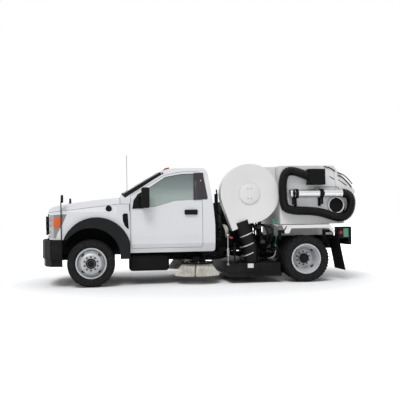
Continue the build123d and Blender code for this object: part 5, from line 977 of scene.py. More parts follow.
@dataclass
class Hoses(SubAssembly):
    """Ribbed hand hose, looped on the hopper's left side."""

    pitch: float = 0.030
    rib: float = 0.009
    samples: int = 6

    def hand_hose(self) -> bpy.types.Object:
        """Return the big looped hose, its route as in the source."""
        shares = [
            (0.361, 0.812), (0.139, 0.945), (0.020, 0.824), (0.020, 0.368), (0.080, 0.229), (0.489, 0.221),
            (0.759, 0.082), (0.897, 0.155), (0.941, 0.388), (0.883, 0.519), (0.804, 0.519),
        ]
        front, length, bottom, height = -1.3915, 1.371, 1.0, 1.032
        route = [(front - a * length, 1.035, bottom + b * height) for a, b in shares]
        line = nurbs_route(route, self.pitch / self.samples)
        made = Shape("ribbed_hand_hose").tube(line, 0.0775, 26, (self.pitch, self.rib)).piece(
            "hopper", self.palette.hose, Slot.RUBBER, angle=60)
        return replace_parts(made, "hand_hose")

    def build(self) -> list[bpy.types.Object]:
        """Return the hand hose."""
        return [self.hand_hose()]


@dataclass
class Blower(SubAssembly):
    """Round plate over the fan's hub, and its four screws."""

    centre: Point = (-0.8565, 0.95, 1.55)
    face: float = 0.034
    plate_radius: float = 0.178
    screw_reach: tuple[float, float] = (0.03, 0.085)

    def build(self) -> list[bpy.types.Object]:
        """Return the fan's pieces."""
        x, y, z = self.centre
        made = []
        radius = self.plate_radius
        across, up = self.screw_reach
        hub = [(0.0, 0.0), (radius - 0.008, 0.0), (radius, -0.004), (radius, -0.010), (0.0, -0.010)]
        made.append(Shape("fan_hub_plate").lathe(hub, (x, y - self.face, z), "Y", 64).piece(
            "chassis", self.palette.blower, Slot.WHITE))
        places = [((x + a * across, y - self.face, z + b * up), (0, 0, 0)) for a in (-1, 1) for b in (-1, 1)]
        made.append(
            Copies(
                "fan_hub_screws", bolt(0.006, 0.005), places
            ).piece("chassis", self.palette.iron, Slot.STEEL)
        )
        return made


def back(distance: float) -> float:
    """Return the place along X that lies a distance behind the front axle."""
    low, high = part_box("front_rim_left")
    return (low.x + high.x) / 2 - distance


def stations(places: Sequence[tuple[float, float]]) -> list[tuple[float, float]]:
    """Return an outline whose first values are distances behind the front axle."""
    return [(back(distance), other) for distance, other in places]


class Skin:
    """Outer surface of some CAD nodes, seen along one axis, to lay thin pieces on."""

    far: float = 9.0
    sunk: float = 0.004

    def __init__(self, nodes: Sequence[str], axis: int, sign: int, reach: float = 0.6) -> None:
        """Read the nodes' meshes.

        Args:
            nodes: Names of the nodes.
            axis: 0, 1 or 2, the axis that the surface is seen along.
            sign: 1 to look from the axis's far end, -1 from the near end.
            reach: How far behind its outermost point a patch's surface may lie.
        """
        self.axis, self.sign, self.reach = axis, sign, reach
        self.flat = [i for i in range(3) if i != axis]
        verts, faces = [], []
        for name in nodes:
            mesh = FRAME["nodes"][name].data
            start = len(verts)
            verts += [v.co.copy() for v in mesh.vertices]
            faces += [[start + i for i in polygon.vertices] for polygon in mesh.polygons]
        self.tree = BVHTree.FromPolygons(verts, faces)

    def height(self, a: float, b: float) -> float | None:
        """Return where the surface lies over one place, or None beside it."""
        start, ahead = [0.0] * 3, [0.0] * 3
        start[self.flat[0]], start[self.flat[1]] = a, b
        start[self.axis], ahead[self.axis] = self.far * self.sign, -float(self.sign)
        hit = self.tree.ray_cast(Vector(start), Vector(ahead))[0]
        return hit[self.axis] if hit else None

    def place(self, a: float, b: float, level: float) -> Point:
        """Return the point with two places across the axis and one along it."""
        made = [0.0] * 3
        made[self.flat[0]], made[self.flat[1]], made[self.axis] = a, b, level
        return tuple(made)

    def levels(self, points: Sequence[Vector]) -> list[float]:
        """Return the surface's level at each point, and beside it the nearest level that there is."""
        found = [self.height(p.x, p.y) for p in points]
        outer = max((level * self.sign for level in found if level is not None), default=0.0)
        found = [
            None if level is None or outer - level * self.sign > self.reach else level for level in found
        ]
        known = [(p, level) for p, level in zip(points, found) if level is not None]
        return [min(known, key=lambda pair: (pair[0] - p).length)[1] if level is None else level
                for p, level in zip(points, found)]

    def patch(self, name: str, outline: Sequence[tuple[float, float]], proud: float = 0.003,
              step: float = 0.04, crown: float = 0.0) -> Shape:
        """Return a thin sheet that follows the surface within an outline.

        Args:
            name: The piece's name.
            outline: Corners in the two other axes, in order round.
            proud: How far the sheet stands out.
            step: Spacing of the sheet's points.
            crown: How much further its middle stands out.
        """
        rim = []
        for (a, b), (c, d) in zip(outline, list(outline[1:]) + [outline[0]]):
            count = max(1, round(math.hypot(c - a, d - b) / step))
            rim += [Vector((a + (c - a) * k / count, b + (d - b) * k / count)) for k in range(count)]
        low = [min(p[i] for p in rim) for i in (0, 1)]
        high = [max(p[i] for p in rim) for i in (0, 1)]
        inner = [
            Vector((low[0] + (i + 0.5) * step, low[1] + (j + 0.5) * step))
            for i in range(int((high[0] - low[0]) / step))
            for j in range(int((high[1] - low[1]) / step))
        ]
        inner = [p for p in inner if min((p - q).length for q in rim) > step * 0.55]
        count = len(rim)
        made = delaunay_2d_cdt(rim + inner, [], [list(range(count))], 1, 1e-7)
        points, faces = made[0], made[2]
        nearest = [min((p - q).length for q in rim) for p in points]
        deepest = max(nearest) or 1.0
        shape = Shape(name)
        base = self.levels(points)
        levels = []
        for lift in (-self.sunk, proud):
            ring = []
            for p, inset, level in zip(points, nearest, base):
                swell = crown * (1 - (1 - inset / deepest) ** 2) if lift > 0 else 0.0
                ring.append(shape.mesh.verts.new(self.place(p.x, p.y, level + (lift + swell) * self.sign)))
            levels.append(ring)
        for face in faces:
            shape.mesh.faces.new([levels[1][i] for i in face])
            shape.mesh.faces.new([levels[0][i] for i in reversed(face)])
        edges = {}
        for face in faces:
            for i, j in zip(face, list(face[1:]) + [face[0]]):
                edges[frozenset((i, j))] = edges.get(frozenset((i, j)), []) + [(i, j)]
        for uses in edges.values():
            if len(uses) == 1:
                i, j = uses[0]
                shape.mesh.faces.new((levels[1][j], levels[1][i], levels[0][i], levels[0][j]))
        return shape


def disc(name: str, centre: Point, radius: float, depth: float, axis: str, side: int = 1,
         dish: float = 0.0, rim: float = 0.1) -> Shape:
    """Return a round cover with a rolled rim, its back at the centre point."""
    profile = [(0.0, depth - dish), (radius * (1 - 2 * rim), depth - dish), (radius * (1 - rim), depth),
               (radius * (1 - rim * 0.3), depth * 0.85), (radius, depth * 0.4), (radius, 0.0), (0.0, 0.0)]
    return Shape(name).lathe([(r, side * a) for r, a in profile], centre, axis, 32)


@dataclass
class Cab(SubAssembly):
    """Door furniture, window surrounds, vents, lamps, grille mesh and wipers."""

    screen_crown: float = 0.050
    door_edge: tuple[float, float] = (1.856, 1.896)
    pillar_reach: float = 0.12
    apron_y: float = 0.46
    apron_wall: float = 0.006

    def door(self, name: str, side: int) -> list[bpy.types.Object]:
        """Return one door's dark pillar, mirror foot, handle, lock and crease."""
        body = f"door_{name}"
        skin = Skin([f"door_{name}", f"door_glass_{name}"], 1, side, self.pillar_reach)
        pillar = [(back(1.776), 1.925), (back(self.door_edge[0]) - 0.014, 1.921),
                  (back(self.door_edge[1]) - 0.010, 1.452), (back(1.752), 1.448)]
        made = [
            skin.patch(
                f"door_pillar_{name}", pillar, 0.012, 0.02
            ).piece(body, self.palette.pillar, Slot.PLASTIC)
        ]
        sail = stations(
            [(0.700, 1.312), (0.722, 1.455), (0.800, 1.560), (0.862, 1.600), (0.900, 1.440), (0.900, 1.315)]
        )
        made.append(
            skin.patch(f"mirror_foot_{name}", sail, 0.012).piece(body, self.palette.plastic, Slot.PLASTIC)
        )
        x_low, x_high = back(1.812), back(1.591)
        y = skin.height((x_low + x_high) / 2, 1.237) or 1.0
        bezel = [
            (x_low, 1.196), (x_high - 0.012, 1.196), (x_high, 1.208), (x_high, 1.268),
            (x_high - 0.012, 1.280), (x_low + 0.012, 1.280), (x_low, 1.268)
        ]
        made.append(
            skin.patch(f"handle_recess_{name}", bezel, 0.004).piece(body, self.palette.dark, Slot.PLASTIC)
        )
        grip = [
            (x_low + 0.010, 1.226), (x_high - 0.014, 1.222), (x_high - 0.010, 1.240), (x_high - 0.014, 1.256),
            (x_low + 0.010, 1.254)
        ]
        made.append(skin.patch(f"handle_grip_{name}", grip, 0.020, crown=0.010).piece(
            body, self.palette.plastic, Slot.PLASTIC, bevel=0.003))
        lock = disc(f"door_lock_{name}", (x_low + 0.004, y, 1.180), 0.010, 0.005 * side, "Y")
        made.append(lock.piece(body, self.palette.zinc, Slot.STEEL))
        crease = stations([(0.700, 0.806), (0.700, 0.828), (1.885, 0.828), (1.885, 0.806)])
        made.append(skin.patch(f"door_crease_{name}", crease, 0.003, 0.05, 0.006).piece(
            body, self.palette.white, Slot.WHITE))
        return made

    def quarter(self, name: str, side: int) -> bpy.types.Object:
        """Return the dark panel behind one door's window, on the cab's corner."""
        outline = [(back(self.door_edge[0]) + 0.020, 1.924), (back(1.938), 1.926), (back(1.994), 1.478),
                   (back(self.door_edge[1]) + 0.020, 1.455)]
        skin = Skin(["cab_shell", "cab_glass"], 1, side, self.pillar_reach)
        return skin.patch(
            f"quarter_panel_{name}", outline, 0.011, 0.02
        ).piece("chassis", self.palette.pillar, Slot.PLASTIC)

    def fender(self, name: str, side: int) -> list[bpy.types.Object]:
        """Return one fender's vent, its frame and ribs, the round cover and the amber side lens."""
        skin = Skin(["front_fenders", "hood", "headlamps", "grille"], 1, side)
        frame = stations(
            [
                (0.520, 1.222), (0.560, 1.250), (0.634, 1.246), (0.650, 0.945), (0.600, 0.968),
                (0.556, 1.020), (0.524, 1.100)
            ]
        )
        vent = stations(
            [
                (0.533, 1.212), (0.566, 1.236), (0.622, 1.232), (0.638, 0.966), (0.606, 0.984),
                (0.568, 1.030), (0.538, 1.105)
            ]
        )
        made = [
            skin.patch(
                f"vent_frame_{name}", frame, 0.005, crown=0.003
            ).piece("chassis", self.palette.white, Slot.WHITE),
            skin.patch(f"vent_dark_{name}", vent, 0.0095).piece("chassis", self.palette.dark, Slot.PLASTIC),
        ]
        ribs = Shape(f"vent_ribs_{name}")
        for k in range(6):
            z = 1.03 + 0.035 * k
            low_x = back(0.560 if k > 2 else 0.575)
            y = (skin.height(back(0.6), z) or 1.0) + side * 0.010
            ribs.slab(
                [
                    (low_x, y, z), (back(0.622), y, z + 0.006), (back(0.622), y, z + 0.014),
                    (low_x, y, z + 0.008)
                ],
                (0.0, side * 0.006, 0.0)
            )
        made.append(ribs.piece("chassis", self.palette.plastic, Slot.PLASTIC))
        z = 1.322
        tries = [
            skin.height(back(0.304) + a, z + b) or 0.0 for a in (-0.04, 0.0, 0.04) for b in (-0.03, 0.0, 0.03)
        ]
        y = max(tries, key=abs)
        cover = disc(
            f"round_cover_{name}", (back(0.304), y - side * 0.010, z), 0.052, 0.030 * side, "Y",
            dish=0.006 * side
        )
        made.append(
            cover.piece("hood" if self.on_hood(side, z) else "chassis", self.palette.plastic, Slot.PLASTIC)
        )
        lamp = stations(
            [
                (-0.640, 1.172), (-0.503, 1.176), (-0.497, 1.060), (-0.588, 0.972), (-0.618, 1.010),
                (-0.636, 1.090)
            ]
        )
        made.append(skin.patch(f"side_lens_{name}", lamp, 0.006, crown=0.006).piece(
            "chassis", self.palette.amber, Slot.AMBER))
        return made

    def on_hood(self, side: int, z: float) -> bool:
        """Return True where the round cover sits on the hood and not on the fender."""
        hood = Skin(["hood"], 1, side).height(back(0.304), z)
        fender = Skin(["front_fenders"], 1, side).height(back(0.304), z)
        return hood is not None and (fender is None or abs(hood) > abs(fender))

    def front(self) -> list[bpy.types.Object]:
        """Return the grille's mesh of small upright bars."""
        made = []
        low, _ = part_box("grille")
        bars = Shape("bar")
        bars.box((-0.006, -0.002, -0.06), (0.006, 0.002, 0.06))
        skin = Skin(["grille"], 0, 1)
        places = []
        for row in range(3):
            for column in range(46):
                y = -0.66 + 1.32 * column / 45
                z = low.z + 0.105 + row * 0.105
                x = skin.height(y, z)
                if x is not None:
                    places.append(((x + 0.003, y, z), (0.0, 0.0, 0.0)))
        if places:
            made.append(Copies("grille_mesh", bars, places).piece("chassis", self.palette.dark, Slot.PLASTIC))
        return made

    def windscreen(self) -> bpy.types.Object:
        """Return the windscreen's crowned outer face."""
        half = [(0.525, 0.93), (0.800, 0.895), (1.050, 0.850), (1.240, 0.790)]
        outline = stations(half) + stations([(r, -y) for r, y in reversed(half)])
        skin = Skin(["cab_glass", "cab_shell"], 2, 1)
        return skin.patch("windscreen_crown", outline, 0.004, 0.05, self.screen_crown).piece(
            "chassis", self.palette.screen, Slot.GLASS, angle=60)

    def screen_edge(self, name: str, side: int) -> bpy.types.Object:
        """Return the dark edge of the windscreen where it wraps round one pillar."""
        outline = stations(
            [
                (0.530, 1.552), (0.785, 1.704), (1.038, 1.853), (1.215, 1.952), (1.255, 1.922),
                (1.072, 1.812), (0.822, 1.652), (0.580, 1.502)
            ]
        )
        return Skin(["cab_shell"], 1, side).patch(f"screen_edge_{name}", outline, 0.004, 0.03).piece(
            "chassis", self.palette.seal, Slot.GLASS)

    def aprons(self) -> bpy.types.Object:
        """Return the dark panels that close the front arches on their inner sides."""
        shape = Shape("arch_aprons")
        outline = stations([(-0.56, 0.66), (-0.56, 1.00), (0.42, 1.04), (0.42, 0.60), (0.20, 0.66)])
        for y in (self.apron_y, -self.apron_y - self.apron_wall):
            shape.prism(outline, (y, y + self.apron_wall))
        return shape.piece("chassis", self.palette.flap, Slot.PLASTIC)

    def wipers(self) -> list[bpy.types.Object]:
        """Return the two wipers on the windscreen's foot."""
        screen = Skin(["cab_glass", "cab_shell", "hood", "front_fenders"], 2, 1)
        made = []
        for name, foot, tip in (
            ("left", (0.585, 0.08), (0.645, 0.60)), ("right", (0.585, -0.60), (0.645, -0.08))
        ):
            shape = Shape(f"wiper_{name}")
            blade = []
            for k in range(9):
                share = k / 8
                r = foot[0] + (tip[0] - foot[0]) * share + 0.02 * math.sin(math.pi * share)
                y = foot[1] + (tip[1] - foot[1]) * share
                x = back(r)
                blade.append((x, y, (screen.height(x, y) or 1.5) + 0.030))
            shape.tube(blade, 0.008, 8)
            arm = [(x + 0.018, y, z + 0.012) for x, y, z in blade[:6]]
            shape.tube([(arm[0][0] + 0.012, arm[0][1] - 0.02, arm[0][2] - 0.02), *arm[1:]], 0.007, 8)
            shape.lathe([(0.0, 0.03), (0.016, 0.03), (0.020, 0.02), (0.020, -0.03), (0.0, -0.03)],
                        (arm[0][0] + 0.012, arm[0][1] - 0.02, arm[0][2] - 0.02), "Z", 20)
            made.append(shape.piece("chassis", self.palette.plastic, Slot.PLASTIC))
        return made

    def build(self) -> list[bpy.types.Object]:
        """Return the cab's pieces."""
        made = [*self.front(), *self.wipers(), self.windscreen(), self.aprons()]
        for name, side in SIDES.items():
            made += [*self.door(name, side), self.quarter(name, side), self.screen_edge(name, side)]
            made += self.fender(name, side)
        return made


@dataclass
class HopperFittings(SubAssembly):
    """Rail, straps and cuffs round the wand tube, the port's rim and the inlet box's lid."""

    def straps(self) -> bpy.types.Object:
        """Return the two buckled straps that hold the wand tube."""
        low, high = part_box("hand_tube")
        middle = (low + high) / 2
        radius = (high.z - low.z) / 2
        shape = Shape("tube_straps")
        for place in (3.505, 4.030):
            x = back(place)
            band = []
            for k in range(17):
                angle = math.radians(-100 + 200 * k / 16)
                band.append(
                    (
                        middle.y + (radius + 0.003) * math.cos(angle),
                        middle.z + (radius + 0.003) * math.sin(angle)
                    )
                )
            band.append((band[-1][0] - 0.045, band[-1][1]))
            tail = [(band[0][0] + 0.004, band[0][1]), (band[0][0] + 0.008, band[0][1] - 0.05),
                    (band[0][0] + 0.002, 1.345)]
            for path in (band, tail):
                for (a, b), (c, d) in zip(path, path[1:]):
                    shape.slab([(x - 0.021, a, b), (x + 0.021, a, b), (x + 0.021, c, d), (x - 0.021, c, d)],
                               (0.0, 0.0035, 0.0))
            shape.box((x - 0.027, middle.y + radius + 0.001, middle.z - 0.028),
                      (x + 0.027, middle.y + radius + 0.009, middle.z + 0.022))
        return shape.piece("hopper", self.palette.seal, Slot.RUBBER)

    def rail(self) -> bpy.types.Object:
        """Return the thin rail over the wand tube and its two feet."""
        low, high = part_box("hand_tube")
        y, z = (low.y + high.y) / 2, high.z
        path = [(back(3.890), y - 0.03, z - 0.004), (back(3.900), y, z + 0.034), (back(3.930), y, z + 0.042),
                (back(4.300), y, z + 0.040), (back(4.334), y, z + 0.034), (back(4.338), y - 0.03, z - 0.004)]
        shape = Shape("tube_rail").tube(nurbs_route(path, 0.012), 0.0055, 10)
        return shape.piece("hopper", self.palette.seal, Slot.STEEL)

    def cuffs(self) -> list[bpy.types.Object]:
        """Return the wand tube's cuffs, the round port's rim, and a dark disc of painted shade in the port's
        opening.
        """
        low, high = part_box("hand_tube")
        middle = (low + high) / 2
        radius = (high.z - low.z) / 2
        rolled = [(radius, -0.020), (radius + 0.007, -0.018), (radius + 0.009, 0.0), (radius + 0.007, 0.018),
                  (radius, 0.020)]
        shape = Shape("tube_cuffs")
        for x in (low.x + 0.022, low.x + 0.115, high.x - 0.022):
            shape.lathe(rolled, (x, middle.y, middle.z), "X", 48, True)
        made = [shape.piece("hopper", self.palette.tube, Slot.TUBE)]
        skin = Skin(["hopper", "hopper_fittings"], 1, 1)
        y = skin.height(back(4.305), 1.325) or 0.95
        ring = [(0.128, 0.0), (0.152, 0.0), (0.150, 0.016), (0.140, 0.022), (0.130, 0.018)]
        made.append(Shape("port_rim").lathe(ring, (back(4.300), y, 1.325), "Y", 64, True).piece(
            "hopper", self.palette.hopper, Slot.WHITE))
        # A dark disc painted as the shade inside the port's opening.
        made.append(
            Shape("port_flap").lathe(
                [(0.0, 0.010), (0.10, 0.010), (0.130, 0.004), (0.130, 0.0), (0.0, 0.0)],
                (back(4.300), y, 1.325), "Y", 48
            ).piece("hopper", self.palette.dark, Slot.RUBBER)
        )
        return made

    def inlet_box(self) -> bpy.types.Object:
        """Return the inlet box's folded lid and hinge."""
        skin = Skin(["hopper_fittings"], 1, 1)
        shape = Shape("inlet_lid")
        x_low, x_high, z_low, z_high = back(4.052), back(3.800), 1.700, 1.945
        y = skin.height((x_low + x_high) / 2, (z_low + z_high) / 2) or 1.12
        for low, high in (
            ((x_low, z_low), (x_high, z_low + 0.018)), ((x_low, z_high - 0.018), (x_high, z_high)),
            ((x_low, z_low), (x_low + 0.018, z_high)), ((x_high - 0.018, z_low), (x_high, z_high))
        ):
            shape.box((low[0], y - 0.002, low[1]), (high[0], y + 0.005, high[1]))
        for z in (1.75, 1.89):
            shape.lathe(
                [(0.0, -0.03), (0.008, -0.03), (0.008, 0.03), (0.0, 0.03)], (x_low + 0.004, y + 0.004, z),
                "Z", 12
            )
        return shape.piece("hopper", self.palette.plastic, Slot.BLACK, bevel=0.0015)

    def build(self) -> list[bpy.types.Object]:
        """Return the pieces on the hopper's left side."""
        return [self.straps(), self.rail(), *self.cuffs(), self.inlet_box()]


@dataclass
class Plumbing(SubAssembly):
    """Rods, chain, clamps, hoses and small fittings between the cab, the fan and the head."""

    brace_y: float = 0.60

    def clamps(self) -> bpy.types.Object:
        """Return the bright clamp bands round the slanted air hose."""
        along = Vector((-0.3807, 0.0, -0.9247)).normalized()
        shape = Shape("air_hose_clamps")
        for centre in ((back(2.690), 0.85, 0.835), (back(2.716), 0.85, 0.660), (back(2.730), 0.85, 0.500)):
            centre = Vector(centre)
            shape.tube([tuple(centre - along * 0.008), tuple(centre + along * 0.008)], 0.1575, 56)
        return shape.piece("chassis", self.palette.zinc, Slot.STEEL)

    def link(
        self, name: str, x: float, y: float, top: float, bottom: float, body: str
    ) -> list[bpy.types.Object]:
        """Return a threaded rod with a turnbuckle, eyes and nuts."""
        shape = Shape(name)
        shape.tube([(x, y, bottom), (x, y, top)], 0.006, 10)
        middle = bottom + (top - bottom) * 0.42
        for side in (-1, 1):
            shape.box(
                (x + side * 0.013 - 0.003, y - 0.006, middle - 0.06),
                (x + side * 0.013 + 0.003, y + 0.006, middle + 0.06)
            )
        for z in (middle - 0.065, middle + 0.065):
            shape.lathe([(0.0, -0.010), (0.017, -0.010), (0.017, 0.010), (0.0, 0.010)], (x, y, z), "Z", 6)
        for z in (bottom, top):
            shape.lathe(
                [(0.009, -0.005), (0.019, -0.005), (0.019, 0.005), (0.009, 0.005)], (x, y, z), "Y", 20, True
            )
        return [shape.piece(body, self.palette.zinc, Slot.STEEL)]

    def chain(self) -> bpy.types.Object:
        """Return the slack chain that carries the pick-up head's rear."""
        route = nurbs_route(
            [
                (back(3.190), 0.99, 0.640), (back(3.186), 0.99, 0.520), (back(3.150), 0.99, 0.430),
                (back(3.060), 0.99, 0.415)
            ],
            0.024
        )
        ring = Shape("chain_link")
        loop = [
            (0.0085 * math.cos(t), 0.0, 0.017 * math.sin(t))
            for t in (2 * math.pi * k / 16 for k in range(17))
        ]
        ring.tube(loop, 0.0034, 6)
        places = []
        for k, (here, ahead) in enumerate(zip(route, route[1:])):
            run = Vector(ahead) - Vector(here)
            tilt = math.atan2(run.x, run.z)
            places.append((here, (0.0, tilt, math.pi / 2 * (k % 2))))
        return Copies("head_chain", ring, places).piece("chassis", self.palette.zinc, Slot.STEEL)

    def lines(self) -> list[bpy.types.Object]:
        """Return the black, pale and green hoses, and the lines that hang along the frame."""
        black = [
            [
                (2.20, 0.62, 1.02), (2.24, 0.80, 1.05), (2.30, 0.88, 0.95), (2.36, 0.86, 0.80),
                (2.42, 0.80, 0.66)
            ],
            [
                (2.22, 0.58, 0.92), (2.30, 0.82, 0.98), (2.38, 0.90, 0.88), (2.42, 0.84, 0.72),
                (2.50, 0.70, 0.60)
            ],
            [
                (2.95, 0.62, 1.00), (3.00, 0.84, 1.02), (3.06, 0.92, 0.90), (3.08, 0.90, 0.74),
                (3.00, 0.80, 0.62)
            ],
            [
                (3.05, 0.60, 0.98), (3.12, 0.86, 0.98), (3.16, 0.92, 0.84), (3.12, 0.88, 0.68),
                (3.02, 0.76, 0.56)
            ],
            [
                (2.86, 0.64, 0.96), (2.92, 0.88, 0.92), (3.00, 0.90, 0.80), (3.14, 0.84, 0.76),
                (3.22, 0.70, 0.78)
            ],
            [
                (2.80, 0.60, 1.06), (2.82, 0.70, 0.98), (2.83, 0.72, 0.88), (2.84, 0.66, 0.76),
                (2.86, 0.60, 0.62)
            ],
            [
                (2.86, 0.60, 1.06), (2.87, 0.68, 0.98), (2.88, 0.70, 0.86), (2.89, 0.64, 0.74),
                (2.92, 0.60, 0.60)
            ],
            [
                (2.92, 0.60, 1.06), (2.92, 0.66, 0.97), (2.92, 0.68, 0.84), (2.94, 0.62, 0.72),
                (2.97, 0.60, 0.58)
            ],
        ]
        pale = [
            [
                (2.29, 0.70, 1.00), (2.30, 0.88, 0.99), (2.32, 0.93, 0.92), (2.33, 0.90, 0.85),
                (2.36, 0.74, 0.80)
            ],
            [
                (2.31, 0.66, 1.00), (2.33, 0.86, 1.00), (2.35, 0.92, 0.93), (2.35, 0.88, 0.86),
                (2.38, 0.70, 0.82)
            ],
            [
                (3.17, 0.76, 1.02), (3.19, 0.90, 1.00), (3.23, 0.98, 0.98), (3.27, 0.95, 0.95),
                (3.29, 0.86, 0.93)
            ],
        ]
        green = [
            [
                (3.20, 0.72, 0.98), (3.215, 0.90, 0.95), (3.215, 0.96, 0.85), (3.205, 0.94, 0.70),
                (3.19, 0.80, 0.60)
            ]
        ]
        made = []
        side_runs = [
            [
                (0.98, 0.46, 0.560), (1.60, 0.475, 0.560), (1.90, 0.47, 0.590), (2.20, 0.48, 0.565),
                (2.48, 0.50, 0.600)
            ],
            [
                (1.00, 0.46, 0.525), (1.70, 0.475, 0.530), (2.00, 0.47, 0.550), (2.25, 0.48, 0.535),
                (2.50, 0.52, 0.560)
            ],
            [
                (1.66, 0.44, 0.520), (1.86, 0.445, 0.472), (2.10, 0.44, 0.462), (2.34, 0.445, 0.478),
                (2.50, 0.46, 0.530)
            ],
            [
                (1.68, 0.42, 0.500), (1.88, 0.425, 0.435), (2.10, 0.42, 0.420), (2.36, 0.425, 0.445),
                (2.52, 0.44, 0.510)
            ],
            [
                (1.70, 0.40, 0.480), (1.90, 0.405, 0.400), (2.10, 0.40, 0.385), (2.38, 0.405, 0.410),
                (2.54, 0.42, 0.490)
            ],
        ]
        for name, routes, radius, finish in (
            ("frame_lines", side_runs, 0.019, self.palette.hose),
            ("black_lines", black, 0.015, self.palette.hose),
            ("pale_lines", pale, 0.017, self.palette.pale_hose),
            ("green_line", green, 0.005, self.palette.green),
        ):
            shape = Shape(name)
            for route in routes:
                shape.tube(nurbs_route([(back(r), y, z) for r, y, z in route], 0.015), radius, 10)
            made.append(shape.piece("chassis", finish, Slot.RUBBER))
        return made

    def fittings(self) -> list[bpy.types.Object]:
        """Return the red couplings, the green ring and the small valve blocks."""
        red = Shape("red_couplings")
        for r, y, z in ((2.395, 0.93, 0.790), (2.418, 0.93, 0.780)):
            red.lathe([(0.0, -0.022), (0.013, -0.020), (0.016, 0.0), (0.013, 0.020), (0.0, 0.022)],
                      (back(r), y, z), "X", 16)
        made = [red.piece("chassis", self.palette.red, Slot.STEEL)]
        ring = [(0.018, -0.012), (0.040, -0.012), (0.043, 0.0), (0.040, 0.012), (0.018, 0.012)]
        made.append(Shape("green_ring").lathe(ring, (back(3.195), 0.90, 1.056), "Y", 32, True).piece(
            "chassis", self.palette.green, Slot.STEEL))
        blocks = Shape("valve_blocks")
        for r, y, z in ((2.93, 0.80, 0.96), (2.98, 0.86, 0.70), (3.10, 0.80, 0.62)):
            blocks.box((back(r) - 0.035, y - 0.03, z - 0.03), (back(r) + 0.035, y + 0.03, z + 0.03))
            blocks.lathe(
                [(0.0, 0.0), (0.015, 0.0), (0.015, 0.03), (0.0, 0.03)], (back(r), y + 0.03, z), "Y", 6
            )
        made.append(blocks.piece("chassis", self.palette.iron, Slot.STEEL, bevel=0.003))
        return made

    def braces(self) -> bpy.types.Object:
        """Return the bent black tubes that stand between the cab and the fan."""
        runs = [
            [
                (2.214, 1.640), (2.226, 1.540), (2.203, 1.459), (2.208, 1.271), (2.163, 1.002),
                (2.215, 0.894), (2.269, 0.839)
            ],
            [(2.160, 1.380), (2.175, 1.200), (2.180, 0.980), (2.200, 0.760)],
            [(2.208, 1.271), (2.290, 1.160), (2.382, 1.052), (2.271, 0.946), (2.200, 0.860)],
        ]
        shape = Shape("cab_braces")
        for k, run in enumerate(runs):
            route = nurbs_route([(back(r), self.brace_y + 0.03 * k, z) for r, z in run], 0.02)
            shape.tube(route, 0.014, 10)
        return shape.piece("chassis", self.palette.black, Slot.STEEL)

    def build(self) -> list[bpy.types.Object]:
        """Return the pieces between the cab and the rear wheel."""
        return [
            self.braces(),
            self.clamps(), self.chain(), *self.lines(), *self.fittings(),
            *self.link("front_rod", back(2.335), 1.02, 0.835, 0.330, "chassis"),
        ]


@dataclass
class RearEnd(SubAssembly):
    """Fender slot and the rear door's slots as dark sheets of painted shade, side lamps, blank panels and the
    rear door's lines.
    """

    def gussets(self) -> list[bpy.types.Object]:
        """Return dark sheets of painted shade in the slots of the hopper's rear corners, and the black lines
        along the slope.
        """
        made = []
        slots = [
            ("hopper", [(4.190, 1.840), (4.216, 1.836), (4.290, 1.792), (4.280, 1.778)]),
            ("hopper_door", [(4.352, 1.782), (4.372, 1.780), (4.515, 1.682), (4.505, 1.668)]),
        ]
        lines = [
            ("hopper", [(4.100, 2.012), (4.180, 2.000), (4.240, 1.975), (4.300, 1.930)]),
            ("hopper_door", [(4.345, 1.905), (4.430, 1.880), (4.514, 1.815), (4.575, 1.745), (4.612, 1.700)]),
            ("hopper_door", [(4.350, 1.850), (4.420, 1.840), (4.500, 1.760), (4.560, 1.700), (4.600, 1.640)]),
        ]
        for name, side in SIDES.items():
            for k, (body, outline) in enumerate(slots):
                skin = Skin([body], 1, side)
                corners = stations(outline)
                if all(skin.height(a, b) is not None for a, b in corners):
                    # The slot is a dark sheet of painted shade laid on the plate.
                    made.append(skin.patch(f"gusset_slot_{k}_{name}", corners, 0.003, 0.03).piece(
                        body, self.palette.dark, Slot.RUBBER))
            for k, (body, run) in enumerate(lines):
                skin = Skin([body], 1, side)
                path = [(back(r), skin.height(back(r), z), z) for r, z in run]
                known = [y for _, y, _ in path if y is not None]
                if not known:
                    continue
                path = [(x, (known[0] if y is None else y) + side * 0.014, z) for x, y, z in path]
                made.append(Shape(f"slope_line_{k}_{name}").tube(nurbs_route(path, 0.015), 0.009, 10).piece(
                    body, self.palette.hose, Slot.RUBBER))
        return made

    def build(self) -> list[bpy.types.Object]:
        """Return the rear's pieces."""
        made = self.gussets()
        for name, side in SIDES.items():
            fender = Skin(["rear_fenders"], 1, side)
            slot = stations([(3.328, 0.972), (3.342, 0.966), (3.288, 0.872), (3.268, 0.878)])
            if fender.height(back(3.30), 0.92) is not None:
                # The fender slot is a dark sheet of painted shade.
                made.append(fender.patch(f"fender_slot_{name}", slot, 0.003, 0.02).piece(
                    "chassis", self.palette.dark, Slot.RUBBER))
            box = Skin(["rear_bumper"], 1, side)
            panel = stations([(4.352, 0.915), (4.440, 0.915), (4.440, 0.765), (4.352, 0.765)])
            made.append(
                box.patch(f"green_panel_{name}", panel, 0.003).piece(
                    "chassis", self.palette.green, Slot.STEEL
                )
            )
            y = box.height(back(4.31), 0.845) or 1.18
            lens = disc(f"side_lamp_{name}", (back(4.305), y, 0.845), 0.032, 0.014 * side, "Y", rim=0.25)
            made.append(lens.piece("chassis", self.palette.tail, Slot.AMBER))
            head = Skin(["pickup_head"], 1, side)
            plate = stations([(2.663, 0.338), (2.765, 0.338), (2.765, 0.264), (2.663, 0.264)])
            made.append(head.patch(f"blank_plate_{name}", plate, 0.003).piece(
                "pickup_head", self.palette.white, Slot.WHITE))
        return made


SUB_ASSEMBLIES: list[type[SubAssembly]] = [
    Wheels, Brooms, Hoses, Blower, Cab, HopperFittings, Plumbing, RearEnd
]


